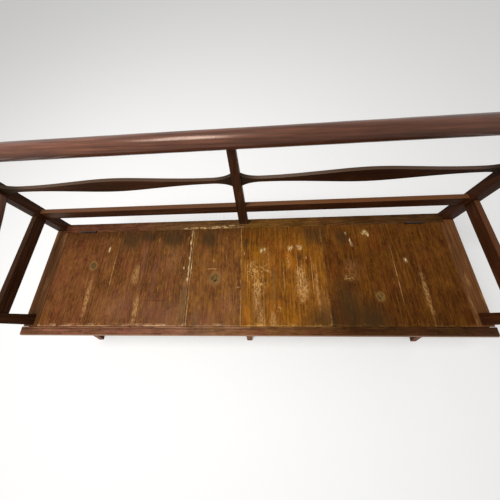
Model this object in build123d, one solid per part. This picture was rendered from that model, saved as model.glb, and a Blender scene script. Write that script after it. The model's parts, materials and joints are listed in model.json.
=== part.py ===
from build123d import *
import os
from math import radians, tan

# Pull-out bench bed in painted and stained pine. Millimetres, +Z up, the floor at Z = 0.
# X runs along the bench with the middle upright at X = 0, and +Y points from the front to the back.
# The pieces are laid out with Y = 0 at the front edge of the seat, and export() then moves them all
# so that the origin lies on the floor under the middle of the whole bench.

# ---- Overall sizes
SEAT_HEIGHT = 450.0
SEAT_DEPTH = 520.0
POST_SPACING = 1840.0          # between the centres of the two end posts
BOX_HEIGHT = 222.0             # from the seat's top down to the lower edge of the boards of the box
BACK_RAKE = 4.0                # degrees that the back leans

# ---- Seat
BOARD_THICKNESS = 22.0
CAP_RAIL_DEPTH = 35.0
CAP_RAIL_OVERHANG = 4.0        # past the end posts
REAR_STRIP_DEPTH = 46.0
REAR_RAIL_HEIGHT = 70.0
END_RAIL_WIDTH = 61.0
BOARD_JOINTS = (-447.0, -239.0, -11.0, 86.0, 351.0)  # joints between the middle boards of the lid
BOARD_JOINT_GAP = 0.8
BOARD_EDGE_EASE = 0.8

# ---- Box
FRONT_BOARD_THICKNESS = 26.0
FRONT_BOARD_SETBACK = 16.0     # from the nosing to the front board
BACK_BOARD_THICKNESS = 22.0
END_BOARD_THICKNESS = 22.0

# ---- Back
STILE_DEPTH = 25.0
STILE_WIDTH_FOOT = 43.0
STILE_WIDTH_TOP = 26.0
TOP_RAIL_RADIUS = 28.0
TOP_RAIL_HEIGHT = 437.0        # seat to rail centre, along the raked back
TOP_RAIL_OVERHANG = 16.0       # past the end posts
TOP_RAIL_END_ROUND = 20.0
LOWER_RAIL_HEIGHT = 42.5
LOWER_RAIL_BOTTOM = 93.0       # seat to the rail's lower edge
LOWER_RAIL_THICKNESS = 21.0
MIDDLE_RAIL_THICKNESS = 15.0
MIDDLE_RAIL_CENTRE = 277.5     # seat to the rail's centre line
NECK_HALF_HEIGHT = 7.4
NECK_DISTANCE = 76.0           # from an upright's face to the neck
FLARE_HALF_HEIGHT = 26.0       # where the rail meets an upright
FLARE_CONTROL = 23.0           # how far the flare's curve is pulled in from the upright
LENS_HALF_HEIGHT = 26.5        # at the middle of a bay
LENS_NECK_PULL = 0.41          # length of the curve's tangent at the neck, as a share of neck to middle
LENS_MIDDLE_PULL = 0.30        # the same at the middle of the bay
STILE_FOOT_INSET = 25.0        # from the seat's rear edge to the stile's front face

# ---- Posts, arms and legs
POST_WIDTH = 42.0
POST_WIDTH_TOP = 34.0
REAR_POST_DEPTH = 42.0
ARM_POST_DEPTH = 42.0
ARM_POST_TOP = 30.0            # square section under the arm
ARM_RADIUS = 18.0
ARM_FRONT_HEIGHT = 216.0       # seat to arm centre at the front end
ARM_REAR_HEIGHT = 270.0        # seat to arm centre at the rear post
ARM_FRONT_OVERHANG = 38.0      # from the arm post's centre to the centre of the arm's rounded end
FOOT_WIDTH = 30.0
FRONT_LEG_DEPTH = 28.0
FRONT_LEG_WIDTH = 42.0
FRONT_TOE_REACH = 40.0         # toe of a pull-out leg ahead of the seat's front edge
FRONT_TOE_DEPTH = 26.0
POST_TOE_SWEEP = 35.0          # toe of an arm post ahead of its front face
POST_TOE_DEPTH = 30.0
REAR_TOE_SWEEP = 31.0          # heel of a rear leg behind the post's back face
REAR_TOE_DEPTH = 30.0
REAR_LEG_DEPTH = 30.0          # middle rear leg at its top

# ---- Bed deck and slide
DECK_DROP = 193.0              # seat top to the underside of the slats
SLAT_THICKNESS = 18.0
FIXED_SLATS = 13
SLAT_GAP = 4.0
SLAT_GROOVE_DEPTH = 10.0       # groove in the front board that takes the sliding slats
BEARER_DEPTH = 24.0
BEARER_HEIGHT = 24.0
LEDGER_DEPTH = 22.0
RUNNER_WIDTH = 30.0
SIDE_RAIL_WIDTH = 22.0
SIDE_RAIL_HEIGHT = 33.0
KICKER_HEIGHT = 22.0
CLEAT_WIDTH = 41.0
CLEAT_HEIGHT = 22.0

# ---- Lid hardware
BATTEN_THICKNESS = 20.0
BATTEN_WIDTH = 50.0
FRONT_BATTEN_INSET = 54.0      # from the lid's front edge
REAR_BATTEN_INSET = 44.0       # from the lid's rear edge
HINGE_END_DISTANCE = 109.0     # hinge centre from the lid's end
HINGE_LENGTH = 80.0
HINGE_LEAF_WIDTH = 20.0
HINGE_LEAF_THICKNESS = 1.5
KNUCKLE_RADIUS = 4.0
HINGE_PIN_RADIUS = 2.0
HINGE_SCREW_SPACING = 28.0
HINGE_SCREW_DROP = 12.0        # from the seat's top
HINGE_SCREW_LENGTH = 20.0
HINGE_SCREW_SHANK = 1.6
HINGE_SCREW_HEAD = 3.1
SCREW_SHANK = 2.1
SCREW_HEAD = 4.1
SCREW_HEAD_DEPTH = 2.3
LID_SCREW_LENGTH = 34.0
LID_SCREW_SPACING = 130.0      # one screw for about this much board width
SLIDE_SCREW_LENGTH = 36.0
NAIL_LENGTH = 34.0
NAIL_RADIUS = 1.5
DOWEL_RADIUS = 5.0
DOWEL_LENGTH = 24.0
DOWEL_PAIRS = 3
PEG_RADIUS = 3.0
PEG_DEPTH = 20.0

# ---- Tenons
TENON_THICKNESS = 8.0
TENON_HEIGHT = 24.0
STILE_TENON_GAP = 8.0          # wood left between the two tenons in the stile
POST_TENON_LENGTH = 27.0
LEG_TENON = (24.0, 12.0, 35.0)
ARM_TENON = 14.0
ARM_TENON_REACH = 10.0
TENON_LAP = 2.0                # how far a tenon's block runs into its own piece
NOSING_SHARE = 0.45            # nosing radius as a share of the cap rail's thickness

# ---- Clearances
LID_FRONT_GAP = 1.5
LID_REAR_GAP = 0.3
LID_END_GAP = 1.0
LID_REST_GAP = 0.4             # between the lid and the front board and cleats
SLIDE_GAP = 1.0                # between the pull-out's front and the arm posts
KICKER_GAP = 0.5
BATTEN_STOP_GAP = 0.3          # left between the slide batten and the bearer at full travel
BATTEN_REAR_GAP = 1.7          # between the slide batten and the rear ledger with the front pushed in
BATTEN_END_GAP = 13.0          # between a lid batten's end and the cleat
SIDE_RAIL_GAP = 1.0            # between a side rail and the inner edge of its runner
SLAT_END_GAP = 0.3
BEARER_SETBACK = 4.0           # from the front board to the bearer
KNUCKLE_GAP = 0.4
KNUCKLE_LIFT = 0.3             # from the seat's top to the knuckle
PIN_CLEARANCE = 0.05

# ---- Derived places
POST_X = POST_SPACING / 2
POST_INNER = POST_X - POST_WIDTH / 2
POST_OUTER = POST_X + POST_WIDTH / 2
BOX_BOTTOM = SEAT_HEIGHT - BOX_HEIGHT
BOARD_BOTTOM = SEAT_HEIGHT - BOARD_THICKNESS
STILE_FRONT = SEAT_DEPTH - STILE_FOOT_INSET
BACK_PLANE = STILE_FRONT + STILE_DEPTH / 2
REAR_POST_FRONT = BACK_PLANE - REAR_POST_DEPTH / 2
REAR_POST_BACK = BACK_PLANE + REAR_POST_DEPTH / 2
REAR_RAIL_FRONT = SEAT_DEPTH - REAR_STRIP_DEPTH
BACK_BOARD_FRONT = SEAT_DEPTH - BACK_BOARD_THICKNESS
FRONT_BOARD_BACK = FRONT_BOARD_SETBACK + FRONT_BOARD_THICKNESS
FRONT_BOARD_TOP = BOARD_BOTTOM - LID_REST_GAP
ARM_POST_FRONT = FRONT_BOARD_BACK + SLIDE_GAP
ARM_POST_BACK = ARM_POST_FRONT + ARM_POST_DEPTH
ARM_POST_Y = (ARM_POST_FRONT + ARM_POST_BACK) / 2
LID_FRONT = CAP_RAIL_DEPTH + LID_FRONT_GAP
LID_REAR = REAR_RAIL_FRONT - LID_REAR_GAP
END_RAIL_INNER = POST_OUTER - END_RAIL_WIDTH
LID_HALF = END_RAIL_INNER - LID_END_GAP
DECK = SEAT_HEIGHT - DECK_DROP
RUNNER_INNER = POST_INNER - RUNNER_WIDTH
BEARER_FRONT = FRONT_BOARD_BACK + BEARER_SETBACK
BEARER_BACK = BEARER_FRONT + BEARER_DEPTH
LEDGER_FRONT = BACK_BOARD_FRONT - LEDGER_DEPTH
SLIDE_BATTEN_BACK = LEDGER_FRONT - BATTEN_REAR_GAP
SLIDE_BATTEN_FRONT = SLIDE_BATTEN_BACK - BEARER_DEPTH
PULL_TRAVEL = SLIDE_BATTEN_FRONT - BEARER_BACK - BATTEN_STOP_GAP
BATTEN_HALF = POST_INNER - CLEAT_WIDTH - BATTEN_END_GAP
HINGE_X = LID_HALF - HINGE_END_DISTANCE
DECK_HALF = RUNNER_INNER - SLAT_END_GAP
SIDE_RAIL_INNER = RUNNER_INNER + SIDE_RAIL_GAP
PIVOT_Y = REAR_RAIL_FRONT - LID_REAR_GAP / 2
PIVOT_Z = SEAT_HEIGHT + KNUCKLE_LIFT + KNUCKLE_RADIUS

pieces = {}


def block(x, y, z):
    """Box between three (low, high) pairs."""
    size = Box(x[1] - x[0], y[1] - y[0], z[1] - z[0])
    return Pos((x[0] + x[1]) / 2, (y[0] + y[1]) / 2, (z[0] + z[1]) / 2) * size


def side_solid(outline, x):
    """Solid with an outline drawn as (Y, Z), between two X planes."""
    return Pos(x[0], 0, 0) * extrude(Plane.YZ * make_face(outline), amount=x[1] - x[0])


def front_solid(outline, y):
    """Solid with an outline drawn as (X, Z), between two Y planes."""
    return Pos(0, y[1], 0) * extrude(Plane.XZ * make_face(outline), amount=y[1] - y[0])


def lean(shape):
    """Lean an upright piece back about the front lower edge of the stile."""
    pivot = Pos(0, STILE_FRONT, SEAT_HEIGHT)
    return pivot * Rot(-BACK_RAKE, 0, 0) * pivot.inverse() * shape


def mirrored(shape):
    """The same piece for the left end."""
    return mirror(shape, about=Plane.YZ)


def add_pair(name, shape):
    """Keep a right-hand piece and its left-hand twin."""
    pieces[name + "_right"] = shape
    pieces[name + "_left"] = mirrored(shape)


def both_sides(solids):
    """The solids and their mirror images, for a group that lies on both sides."""
    return solids + [mirrored(s) for s in solids]


def group(solids):
    """Several separate solids in one node."""
    return Compound([s.solid() for s in solids])


def cut_all(shape, tools):
    """Cut each tool out of a shape."""
    for tool in tools:
        shape = shape - tool
    return shape


def screw(length, shank, head, head_depth):
    """Countersunk screw along -Z, with its head's face at the origin."""
    tip = shank - length
    half = Polyline((0, 0), (head, 0), (shank, -head_depth), (shank, tip), (0, -length), close=True)
    return revolve(Plane.XZ * make_face(half), axis=Axis.Z)


def wood_screw(length):
    """Screw of the size that holds the battens."""
    return screw(length, SCREW_SHANK, SCREW_HEAD, SCREW_HEAD_DEPTH)


def leg_outline(top_front, top_back, toe_front, toe_back, top):
    """Outline of a sabre leg: straight down at its top, and curved out to the toe."""
    front = TangentArc((top_front, top), (toe_front, 0), tangent=(0, -1))
    back = TangentArc((top_back, top), (toe_back, 0), tangent=(0, -1))
    return front + Line((toe_front, 0), (toe_back, 0)) + back + Line((top_back, top), (top_front, top))


def leg_taper(width, top):
    """Tapered width of a leg centred on X = 0, seen from the front."""
    half = width / 2
    foot = FOOT_WIDTH / 2
    outline = Polyline((-half, top), (-foot, 0), (foot, 0), (half, top), close=True)
    return front_solid(outline, (-SEAT_DEPTH, 2 * SEAT_DEPTH))


def leg_tenon(y):
    """Tenon of a leg that goes up into a board, centred on X = 0."""
    width, depth, height = LEG_TENON
    return block((-width / 2, width / 2), (y - depth / 2, y + depth / 2), (BOX_BOTTOM, BOX_BOTTOM + height))


# ---- Back
def stile_half_width(height):
    """Half of the stile's width at a height above the seat."""
    return (STILE_WIDTH_FOOT + (STILE_WIDTH_TOP - STILE_WIDTH_FOOT) * height / TOP_RAIL_HEIGHT) / 2


def post_half_width(height):
    """Half of the rear post's width at a height above the seat."""
    return (POST_WIDTH + (POST_WIDTH_TOP - POST_WIDTH) * height / TOP_RAIL_HEIGHT) / 2


def make_top_rail():
    length = 2 * (POST_OUTER + TOP_RAIL_OVERHANG)
    rail = Rot(0, 90, 0) * Cylinder(TOP_RAIL_RADIUS, length)
    rail = fillet(rail.edges().filter_by(GeomType.CIRCLE), TOP_RAIL_END_ROUND)
    return lean(Pos(0, BACK_PLANE, SEAT_HEIGHT + TOP_RAIL_HEIGHT) * rail)


def upright_tenon(width):
    """Tenon that stands up from an upright into the top rail, before the back leans."""
    top = SEAT_HEIGHT + TOP_RAIL_HEIGHT
    y = (BACK_PLANE - TENON_THICKNESS / 2, BACK_PLANE + TENON_THICKNESS / 2)
    return block((-width / 4, width / 4), y, (top - TOP_RAIL_RADIUS - TENON_LAP, top))


def stile_foot_tenon():
    width = STILE_WIDTH_FOOT / 2
    half = TENON_THICKNESS / 2
    z = (SEAT_HEIGHT - LEG_TENON[2], SEAT_HEIGHT + TENON_LAP)
    return block((-width / 2, width / 2), (BACK_PLANE - half, BACK_PLANE + half), z)


def make_stile(top_rail):
    top = SEAT_HEIGHT + TOP_RAIL_HEIGHT
    foot = stile_half_width(-STILE_DEPTH)
    head = stile_half_width(TOP_RAIL_HEIGHT)
    low = SEAT_HEIGHT - STILE_DEPTH
    outline = Polyline((-foot, low), (foot, low), (head, top), (-head, top), close=True)
    stile = lean(front_solid(outline, (STILE_FRONT, STILE_FRONT + STILE_DEPTH)))
    stile = stile - block((-SEAT_DEPTH, SEAT_DEPTH), (0, 2 * SEAT_DEPTH), (0, SEAT_HEIGHT))
    return (stile - top_rail) + lean(upright_tenon(STILE_WIDTH_TOP)) + stile_foot_tenon()


def middle_rail_edge(start, end, side):
    """Upper (side 1) or lower (side -1) edge of a middle rail between the faces of its two uprights."""
    middle = (start + end) / 2
    neck_a = start + NECK_DISTANCE
    neck_b = end - NECK_DISTANCE
    run = middle - neck_a
    level = SEAT_HEIGHT + MIDDLE_RAIL_CENTRE
    flare = level + side * FLARE_HALF_HEIGHT
    neck = level + side * NECK_HALF_HEIGHT
    lens = level + side * LENS_HALF_HEIGHT
    neck_pull = run * LENS_NECK_PULL
    middle_pull = run * LENS_MIDDLE_PULL
    return [
        Bezier((start, flare), (start + FLARE_CONTROL, neck), (neck_a, neck)),
        Bezier((neck_a, neck), (neck_a + neck_pull, neck), (middle - middle_pull, lens), (middle, lens)),
        Bezier((middle, lens), (middle + middle_pull, lens), (neck_b - neck_pull, neck), (neck_b, neck)),
        Bezier((neck_b, neck), (end - FLARE_CONTROL, neck), (end, flare)),
    ]


def make_middle_rail(uprights):
    start = stile_half_width(MIDDLE_RAIL_CENTRE)
    end = POST_X - post_half_width(MIDDLE_RAIL_CENTRE)
    low = SEAT_HEIGHT + MIDDLE_RAIL_CENTRE - FLARE_HALF_HEIGHT
    high = SEAT_HEIGHT + MIDDLE_RAIL_CENTRE + FLARE_HALF_HEIGHT
    edges = middle_rail_edge(start, end, 1) + middle_rail_edge(start, end, -1)
    edges += [Line((start, low), (0, low)), Line((0, low), (0, high)), Line((0, high), (start, high))]
    edges += [Line((end, low), (POST_X, low)), Line((POST_X, low), (POST_X, high))]
    edges += [Line((POST_X, high), (end, high))]
    y = BACK_PLANE - MIDDLE_RAIL_THICKNESS / 2
    rail = lean(front_solid(edges, (y, y + MIDDLE_RAIL_THICKNESS)))
    return cut_all(rail, uprights)


def make_lower_rail(uprights):
    z = SEAT_HEIGHT + LOWER_RAIL_BOTTOM
    y = BACK_PLANE - LOWER_RAIL_THICKNESS / 2
    rail = lean(block((0, POST_X), (y, y + LOWER_RAIL_THICKNESS), (z, z + LOWER_RAIL_HEIGHT)))
    return cut_all(rail, uprights)


def back_tenons(height):
    """Tenons of a right-hand back rail at a height above the seat: into the stile and into the post."""
    half = TENON_THICKNESS / 2
    y = (BACK_PLANE - half, BACK_PLANE + half)
    z = (SEAT_HEIGHT + height - TENON_HEIGHT / 2, SEAT_HEIGHT + height + TENON_HEIGHT / 2)
    stile_face = stile_half_width(height)
    post_face = POST_X - post_half_width(height)
    into_stile = block((STILE_TENON_GAP / 2, stile_face + TENON_LAP), y, z)
    into_post = block((post_face - TENON_LAP, post_face + POST_TENON_LENGTH), y, z)
    return [lean(into_stile), lean(into_post)]


def back_peg(x, height, back):
    """Peg driven in from the back of an upright, across a tenon."""
    peg = Rot(90, 0, 0) * Cylinder(PEG_RADIUS, PEG_DEPTH)
    return lean(Pos(x, back - PEG_DEPTH / 2, SEAT_HEIGHT + height) * peg)


def make_back_pegs():
    stile_back = STILE_FRONT + STILE_DEPTH
    pegs = []
    for height in (MIDDLE_RAIL_CENTRE, LOWER_RAIL_BOTTOM + LOWER_RAIL_HEIGHT / 2):
        in_stile = (STILE_TENON_GAP / 2 + stile_half_width(height)) / 2
        in_post = POST_X - post_half_width(height) + POST_TENON_LENGTH / 2
        right = [back_peg(in_stile, height, stile_back), back_peg(in_post, height, REAR_POST_BACK)]
        pegs += both_sides(right)
    return pegs


def make_rear_post(top_rail):
    """Right-hand rear post: sabre leg below the box, upright beside it, and raked above the seat."""
    shift = TOP_RAIL_HEIGHT * tan(radians(BACK_RAKE))
    top = SEAT_HEIGHT + TOP_RAIL_HEIGHT
    toe_back = REAR_POST_BACK + REAR_TOE_SWEEP
    leg = leg_outline(REAR_POST_FRONT, REAR_POST_BACK, toe_back - REAR_TOE_DEPTH, toe_back, BOX_BOTTOM)
    upper = Polyline(
        (REAR_POST_FRONT, BOX_BOTTOM), (REAR_POST_BACK, BOX_BOTTOM), (REAR_POST_BACK, SEAT_HEIGHT),
        (REAR_POST_BACK + shift, top), (REAR_POST_FRONT + shift, top), (REAR_POST_FRONT, SEAT_HEIGHT),
        close=True,
    )
    half = POST_WIDTH / 2
    post = side_solid(leg, (-half, half)) + side_solid(upper, (-half, half))
    slim = POST_WIDTH_TOP / 2
    taper = Polyline(
        (-FOOT_WIDTH / 2, 0), (FOOT_WIDTH / 2, 0), (half, BOX_BOTTOM), (half, SEAT_HEIGHT),
        (slim, top), (-slim, top), (-half, SEAT_HEIGHT), (-half, BOX_BOTTOM),
        close=True,
    )
    post = post & front_solid(taper, (0, 2 * SEAT_DEPTH))
    post = Pos(POST_X, 0, 0) * post - top_rail
    return post + Pos(POST_X, 0, 0) * lean(upright_tenon(POST_WIDTH_TOP))


# ---- Arms
def arm_path():
    front = (ARM_POST_Y - ARM_FRONT_OVERHANG, SEAT_HEIGHT + ARM_FRONT_HEIGHT)
    rear = (BACK_PLANE + ARM_REAR_HEIGHT * tan(radians(BACK_RAKE)), SEAT_HEIGHT + ARM_REAR_HEIGHT)
    return Plane.YZ.offset(POST_X) * TangentArc(front, rear, tangent=(1, 0))


def make_arm(rear_post):
    path = arm_path()
    start = path @ 0
    section = Plane(origin=start, z_dir=path % 0) * Circle(ARM_RADIUS)
    arm = sweep(section, path=path) + Pos(*start) * Sphere(ARM_RADIUS)
    end = path @ 1
    half = ARM_TENON / 2
    arm = arm - rear_post
    tenon_end = end.Y - TENON_THICKNESS
    tenon = block(
        (POST_X - half, POST_X + half),
        (end.Y - REAR_POST_DEPTH / 2 - TENON_LAP, tenon_end),
        (end.Z - half, end.Z + half),
    )
    return max(arm.solids(), key=lambda s: s.volume) + tenon


def arm_post_tenon():
    z = SEAT_HEIGHT + ARM_FRONT_HEIGHT
    half = ARM_TENON / 2
    underside = z - ARM_RADIUS
    y = (ARM_POST_Y - half, ARM_POST_Y + half)
    return block((POST_X - half, POST_X + half), y, (underside - TENON_LAP, underside + ARM_TENON_REACH))


def make_arm_post(arm):
    """Right-hand front corner post: sabre leg below the box, and tapered above the seat."""
    top = SEAT_HEIGHT + ARM_FRONT_HEIGHT
    inset = (ARM_POST_DEPTH - ARM_POST_TOP) / 2
    toe = ARM_POST_FRONT - POST_TOE_SWEEP
    leg = leg_outline(ARM_POST_FRONT, ARM_POST_BACK, toe, toe + POST_TOE_DEPTH, BOX_BOTTOM)
    upper = Polyline(
        (ARM_POST_FRONT, BOX_BOTTOM), (ARM_POST_BACK, BOX_BOTTOM), (ARM_POST_BACK, SEAT_HEIGHT),
        (ARM_POST_BACK - inset, top), (ARM_POST_FRONT + inset, top), (ARM_POST_FRONT, SEAT_HEIGHT),
        close=True,
    )
    half = POST_WIDTH / 2
    post = side_solid(leg, (-half, half)) + side_solid(upper, (-half, half))
    slim = ARM_POST_TOP / 2
    taper = Polyline(
        (-FOOT_WIDTH / 2, 0), (FOOT_WIDTH / 2, 0), (half, BOX_BOTTOM), (half, SEAT_HEIGHT),
        (slim, top), (-slim, top), (-half, SEAT_HEIGHT), (-half, BOX_BOTTOM),
        close=True,
    )
    post = Pos(POST_X, 0, 0) * (post & front_solid(taper, (-SEAT_DEPTH, SEAT_DEPTH)))
    return max((post - arm).solids(), key=lambda s: s.volume) + arm_post_tenon()


def make_arm_rail(posts):
    z = SEAT_HEIGHT + LOWER_RAIL_BOTTOM
    half = LOWER_RAIL_THICKNESS / 2
    rail = block((POST_X - half, POST_X + half), (ARM_POST_Y, BACK_PLANE), (z, z + LOWER_RAIL_HEIGHT))
    return cut_all(rail, posts)


def arm_rail_tenons():
    """Tenons of the rail under the arm: into the arm post and into the rear post."""
    middle = SEAT_HEIGHT + LOWER_RAIL_BOTTOM + LOWER_RAIL_HEIGHT / 2
    half = TENON_THICKNESS / 2
    x = (POST_X - half, POST_X + half)
    z = (middle - TENON_HEIGHT / 2, middle + TENON_HEIGHT / 2)
    front = block(x, (ARM_POST_Y, ARM_POST_BACK), z)
    rear_face = REAR_POST_FRONT + (middle - SEAT_HEIGHT) * tan(radians(BACK_RAKE))
    rear = block(x, (rear_face - TENON_LAP, rear_face + ARM_TENON), z)
    return [front, rear]


# ---- Fixed box
def make_rear_seat_rail():
    z = (SEAT_HEIGHT - REAR_RAIL_HEIGHT, SEAT_HEIGHT)
    return block((-POST_INNER, POST_INNER), (REAR_RAIL_FRONT, SEAT_DEPTH), z)


def make_back_board():
    z = (BOX_BOTTOM, SEAT_HEIGHT - REAR_RAIL_HEIGHT)
    return block((-POST_INNER, POST_INNER), (BACK_BOARD_FRONT, SEAT_DEPTH), z)


def make_centre_rear_leg(back_board):
    middle = BACK_BOARD_FRONT + BACK_BOARD_THICKNESS / 2
    front = middle - REAR_LEG_DEPTH / 2
    back = middle + REAR_LEG_DEPTH / 2
    toe_back = REAR_POST_BACK + REAR_TOE_SWEEP
    outline = leg_outline(front, back, toe_back - REAR_TOE_DEPTH, toe_back, BOX_BOTTOM)
    leg = side_solid(outline, (-POST_WIDTH / 2, POST_WIDTH / 2)) & leg_taper(POST_WIDTH, BOX_BOTTOM)
    tenon = leg_tenon(middle)
    return leg + tenon, back_board - tenon


def make_end_board():
    x = (POST_INNER, POST_INNER + END_BOARD_THICKNESS)
    return block(x, (ARM_POST_BACK, REAR_POST_FRONT), (BOX_BOTTOM, BOARD_BOTTOM))


def make_seat_end_rail():
    z = (BOARD_BOTTOM, SEAT_HEIGHT)
    rail = block((END_RAIL_INNER, POST_OUTER), (CAP_RAIL_DEPTH + SLIDE_GAP, REAR_RAIL_FRONT), z)
    rail = rail + block((POST_INNER, POST_OUTER), (REAR_RAIL_FRONT, REAR_POST_FRONT), z)
    return rail - block((POST_INNER, POST_OUTER), (ARM_POST_FRONT, ARM_POST_BACK), z)


def make_lid_cleat():
    top = BOARD_BOTTOM - LID_REST_GAP
    x = (POST_INNER - CLEAT_WIDTH, POST_INNER)
    return block(x, (ARM_POST_BACK, REAR_RAIL_FRONT), (top - CLEAT_HEIGHT, top))


def make_runner():
    x = (RUNNER_INNER, POST_INNER)
    return block(x, (BEARER_BACK, LEDGER_FRONT), (DECK - BEARER_HEIGHT, DECK))


def make_kicker():
    bottom = DECK + SIDE_RAIL_HEIGHT + KICKER_GAP
    x = (RUNNER_INNER, POST_INNER)
    return block(x, (ARM_POST_BACK, REAR_RAIL_FRONT), (bottom, bottom + KICKER_HEIGHT))


def make_front_bearer():
    z = (DECK - BEARER_HEIGHT, DECK)
    return block((-POST_INNER, POST_INNER), (BEARER_FRONT, BEARER_BACK), z)


def make_rear_ledger():
    z = (DECK - BEARER_HEIGHT, DECK)
    return block((-POST_INNER, POST_INNER), (LEDGER_FRONT, BACK_BOARD_FRONT), z)


def slat_places():
    """(low X, high X, slides) of every slat: a sliding one at each end, and fixed ones between."""
    count = 2 * FIXED_SLATS + 1
    width = (2 * DECK_HALF - (count - 1) * SLAT_GAP) / count
    places = []
    for i in range(count):
        low = -DECK_HALF + i * (width + SLAT_GAP)
        places.append((low, low + width, i % 2 == 0))
    return places


def make_fixed_slats():
    """Fixed slats and the nails that hold them to the bearer and the rear ledger."""
    top = DECK + SLAT_THICKNESS
    nail_y = ((BEARER_FRONT + BEARER_BACK) / 2, (LEDGER_FRONT + BACK_BOARD_FRONT) / 2)
    slats = []
    nails = []
    for low, high, slides in slat_places():
        if slides:
            continue
        slat = block((low, high), (BEARER_FRONT, BACK_BOARD_FRONT), (DECK, top))
        for y in nail_y:
            nail = Cylinder(NAIL_RADIUS, NAIL_LENGTH)
            nails.append(Pos((low + high) / 2, y, top - NAIL_LENGTH / 2) * nail)
        slats.append(cut_all(slat, nails[-2:]))
    return slats, nails


# ---- Pull-out
def make_front_board():
    z = (BOX_BOTTOM, FRONT_BOARD_TOP)
    board = block((-POST_OUTER, POST_OUTER), (FRONT_BOARD_SETBACK, FRONT_BOARD_BACK), z)
    groove = (FRONT_BOARD_BACK - SLAT_GROOVE_DEPTH, FRONT_BOARD_BACK)
    return board - block((-DECK_HALF, DECK_HALF), groove, (DECK, DECK + SLAT_THICKNESS))


def make_cap_rail():
    half = POST_OUTER + CAP_RAIL_OVERHANG
    rail = block((-half, half), (0, CAP_RAIL_DEPTH), (FRONT_BOARD_TOP, SEAT_HEIGHT))
    nosing = rail.edges().filter_by(Axis.X).group_by(Axis.Y)[0]
    return fillet(nosing, (SEAT_HEIGHT - FRONT_BOARD_TOP) * NOSING_SHARE)


def make_cap_dowels():
    y = (FRONT_BOARD_SETBACK + CAP_RAIL_DEPTH) / 2
    step = POST_X / DOWEL_PAIRS
    dowels = []
    for i in range(DOWEL_PAIRS):
        dowels.append(Pos(step * (i + 0.5), y, FRONT_BOARD_TOP) * Cylinder(DOWEL_RADIUS, DOWEL_LENGTH))
    return both_sides(dowels)


def make_front_leg():
    """Pull-out leg and its tenon, centred on X = 0."""
    back = FRONT_BOARD_BACK
    front = back - FRONT_LEG_DEPTH
    half = FRONT_LEG_WIDTH / 2
    outline = leg_outline(front, back, -FRONT_TOE_REACH, FRONT_TOE_DEPTH - FRONT_TOE_REACH, BOX_BOTTOM)
    leg = side_solid(outline, (-half, half)) & leg_taper(FRONT_LEG_WIDTH, BOX_BOTTOM)
    tenon = leg_tenon(FRONT_BOARD_SETBACK + FRONT_BOARD_THICKNESS / 2)
    return leg + tenon, tenon


def make_side_rail():
    x = (SIDE_RAIL_INNER, SIDE_RAIL_INNER + SIDE_RAIL_WIDTH)
    return block(x, (FRONT_BOARD_BACK, SLIDE_BATTEN_BACK), (DECK, DECK + SIDE_RAIL_HEIGHT))


def make_slide_batten():
    x = (-DECK_HALF, DECK_HALF)
    return block(x, (SLIDE_BATTEN_FRONT, SLIDE_BATTEN_BACK), (DECK - BEARER_HEIGHT, DECK))


def make_sliding_slats():
    """Sliding slats and the screws that come up through the batten into them."""
    y = (FRONT_BOARD_BACK - SLAT_GROOVE_DEPTH + SLAT_END_GAP, SLIDE_BATTEN_BACK)
    slats = []
    screws = []
    for low, high, slides in slat_places():
        if not slides:
            continue
        place = Pos((low + high) / 2, (SLIDE_BATTEN_FRONT + SLIDE_BATTEN_BACK) / 2, DECK - BEARER_HEIGHT)
        screws.append(place * Rot(180, 0, 0) * wood_screw(SLIDE_SCREW_LENGTH))
        slats.append(block((low, high), y, (DECK, DECK + SLAT_THICKNESS)) - screws[-1])
    return slats, screws


# ---- Lid
def lid_board_edges():
    """X of every board's edge: the middle joints, and two equal boards out to each end."""
    first = BOARD_JOINTS[0]
    last = BOARD_JOINTS[-1]
    left = [-LID_HALF, (first - LID_HALF) / 2]
    right = [(last + LID_HALF) / 2, LID_HALF]
    return left + list(BOARD_JOINTS) + right


def make_lid_board(low, high):
    gap = BOARD_JOINT_GAP / 2
    board = block((low + gap, high - gap), (LID_FRONT, LID_REAR), (BOARD_BOTTOM, SEAT_HEIGHT))
    return chamfer(board.edges().group_by(Axis.Z)[-1], BOARD_EDGE_EASE)


def make_lid_battens():
    x = (-BATTEN_HALF, BATTEN_HALF)
    z = (BOARD_BOTTOM - BATTEN_THICKNESS, BOARD_BOTTOM)
    front = LID_FRONT + FRONT_BATTEN_INSET
    rear = LID_REAR - REAR_BATTEN_INSET - BATTEN_WIDTH
    return block(x, (front, front + BATTEN_WIDTH), z), block(x, (rear, rear + BATTEN_WIDTH), z)


def make_lid_screws(edges):
    """Screws up through both battens, spread over the width of each board."""
    rows = (
        LID_FRONT + FRONT_BATTEN_INSET + BATTEN_WIDTH / 2,
        LID_REAR - REAR_BATTEN_INSET - BATTEN_WIDTH / 2,
    )
    screws = []
    for low, high in zip(edges, edges[1:]):
        count = max(1, round((high - low) / LID_SCREW_SPACING))
        for i in range(count):
            x = low + (high - low) * (i + 0.5) / count
            for y in rows:
                place = Pos(x, y, BOARD_BOTTOM - BATTEN_THICKNESS)
                screws.append(place * Rot(180, 0, 0) * wood_screw(LID_SCREW_LENGTH))
    return screws


# ---- Hinges, each made around its own pivot at X = 0
def pin_cylinder(radius):
    """Cylinder along the pivot, as long as the hinge."""
    return Rot(0, 90, 0) * Cylinder(radius, HINGE_LENGTH)


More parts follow.
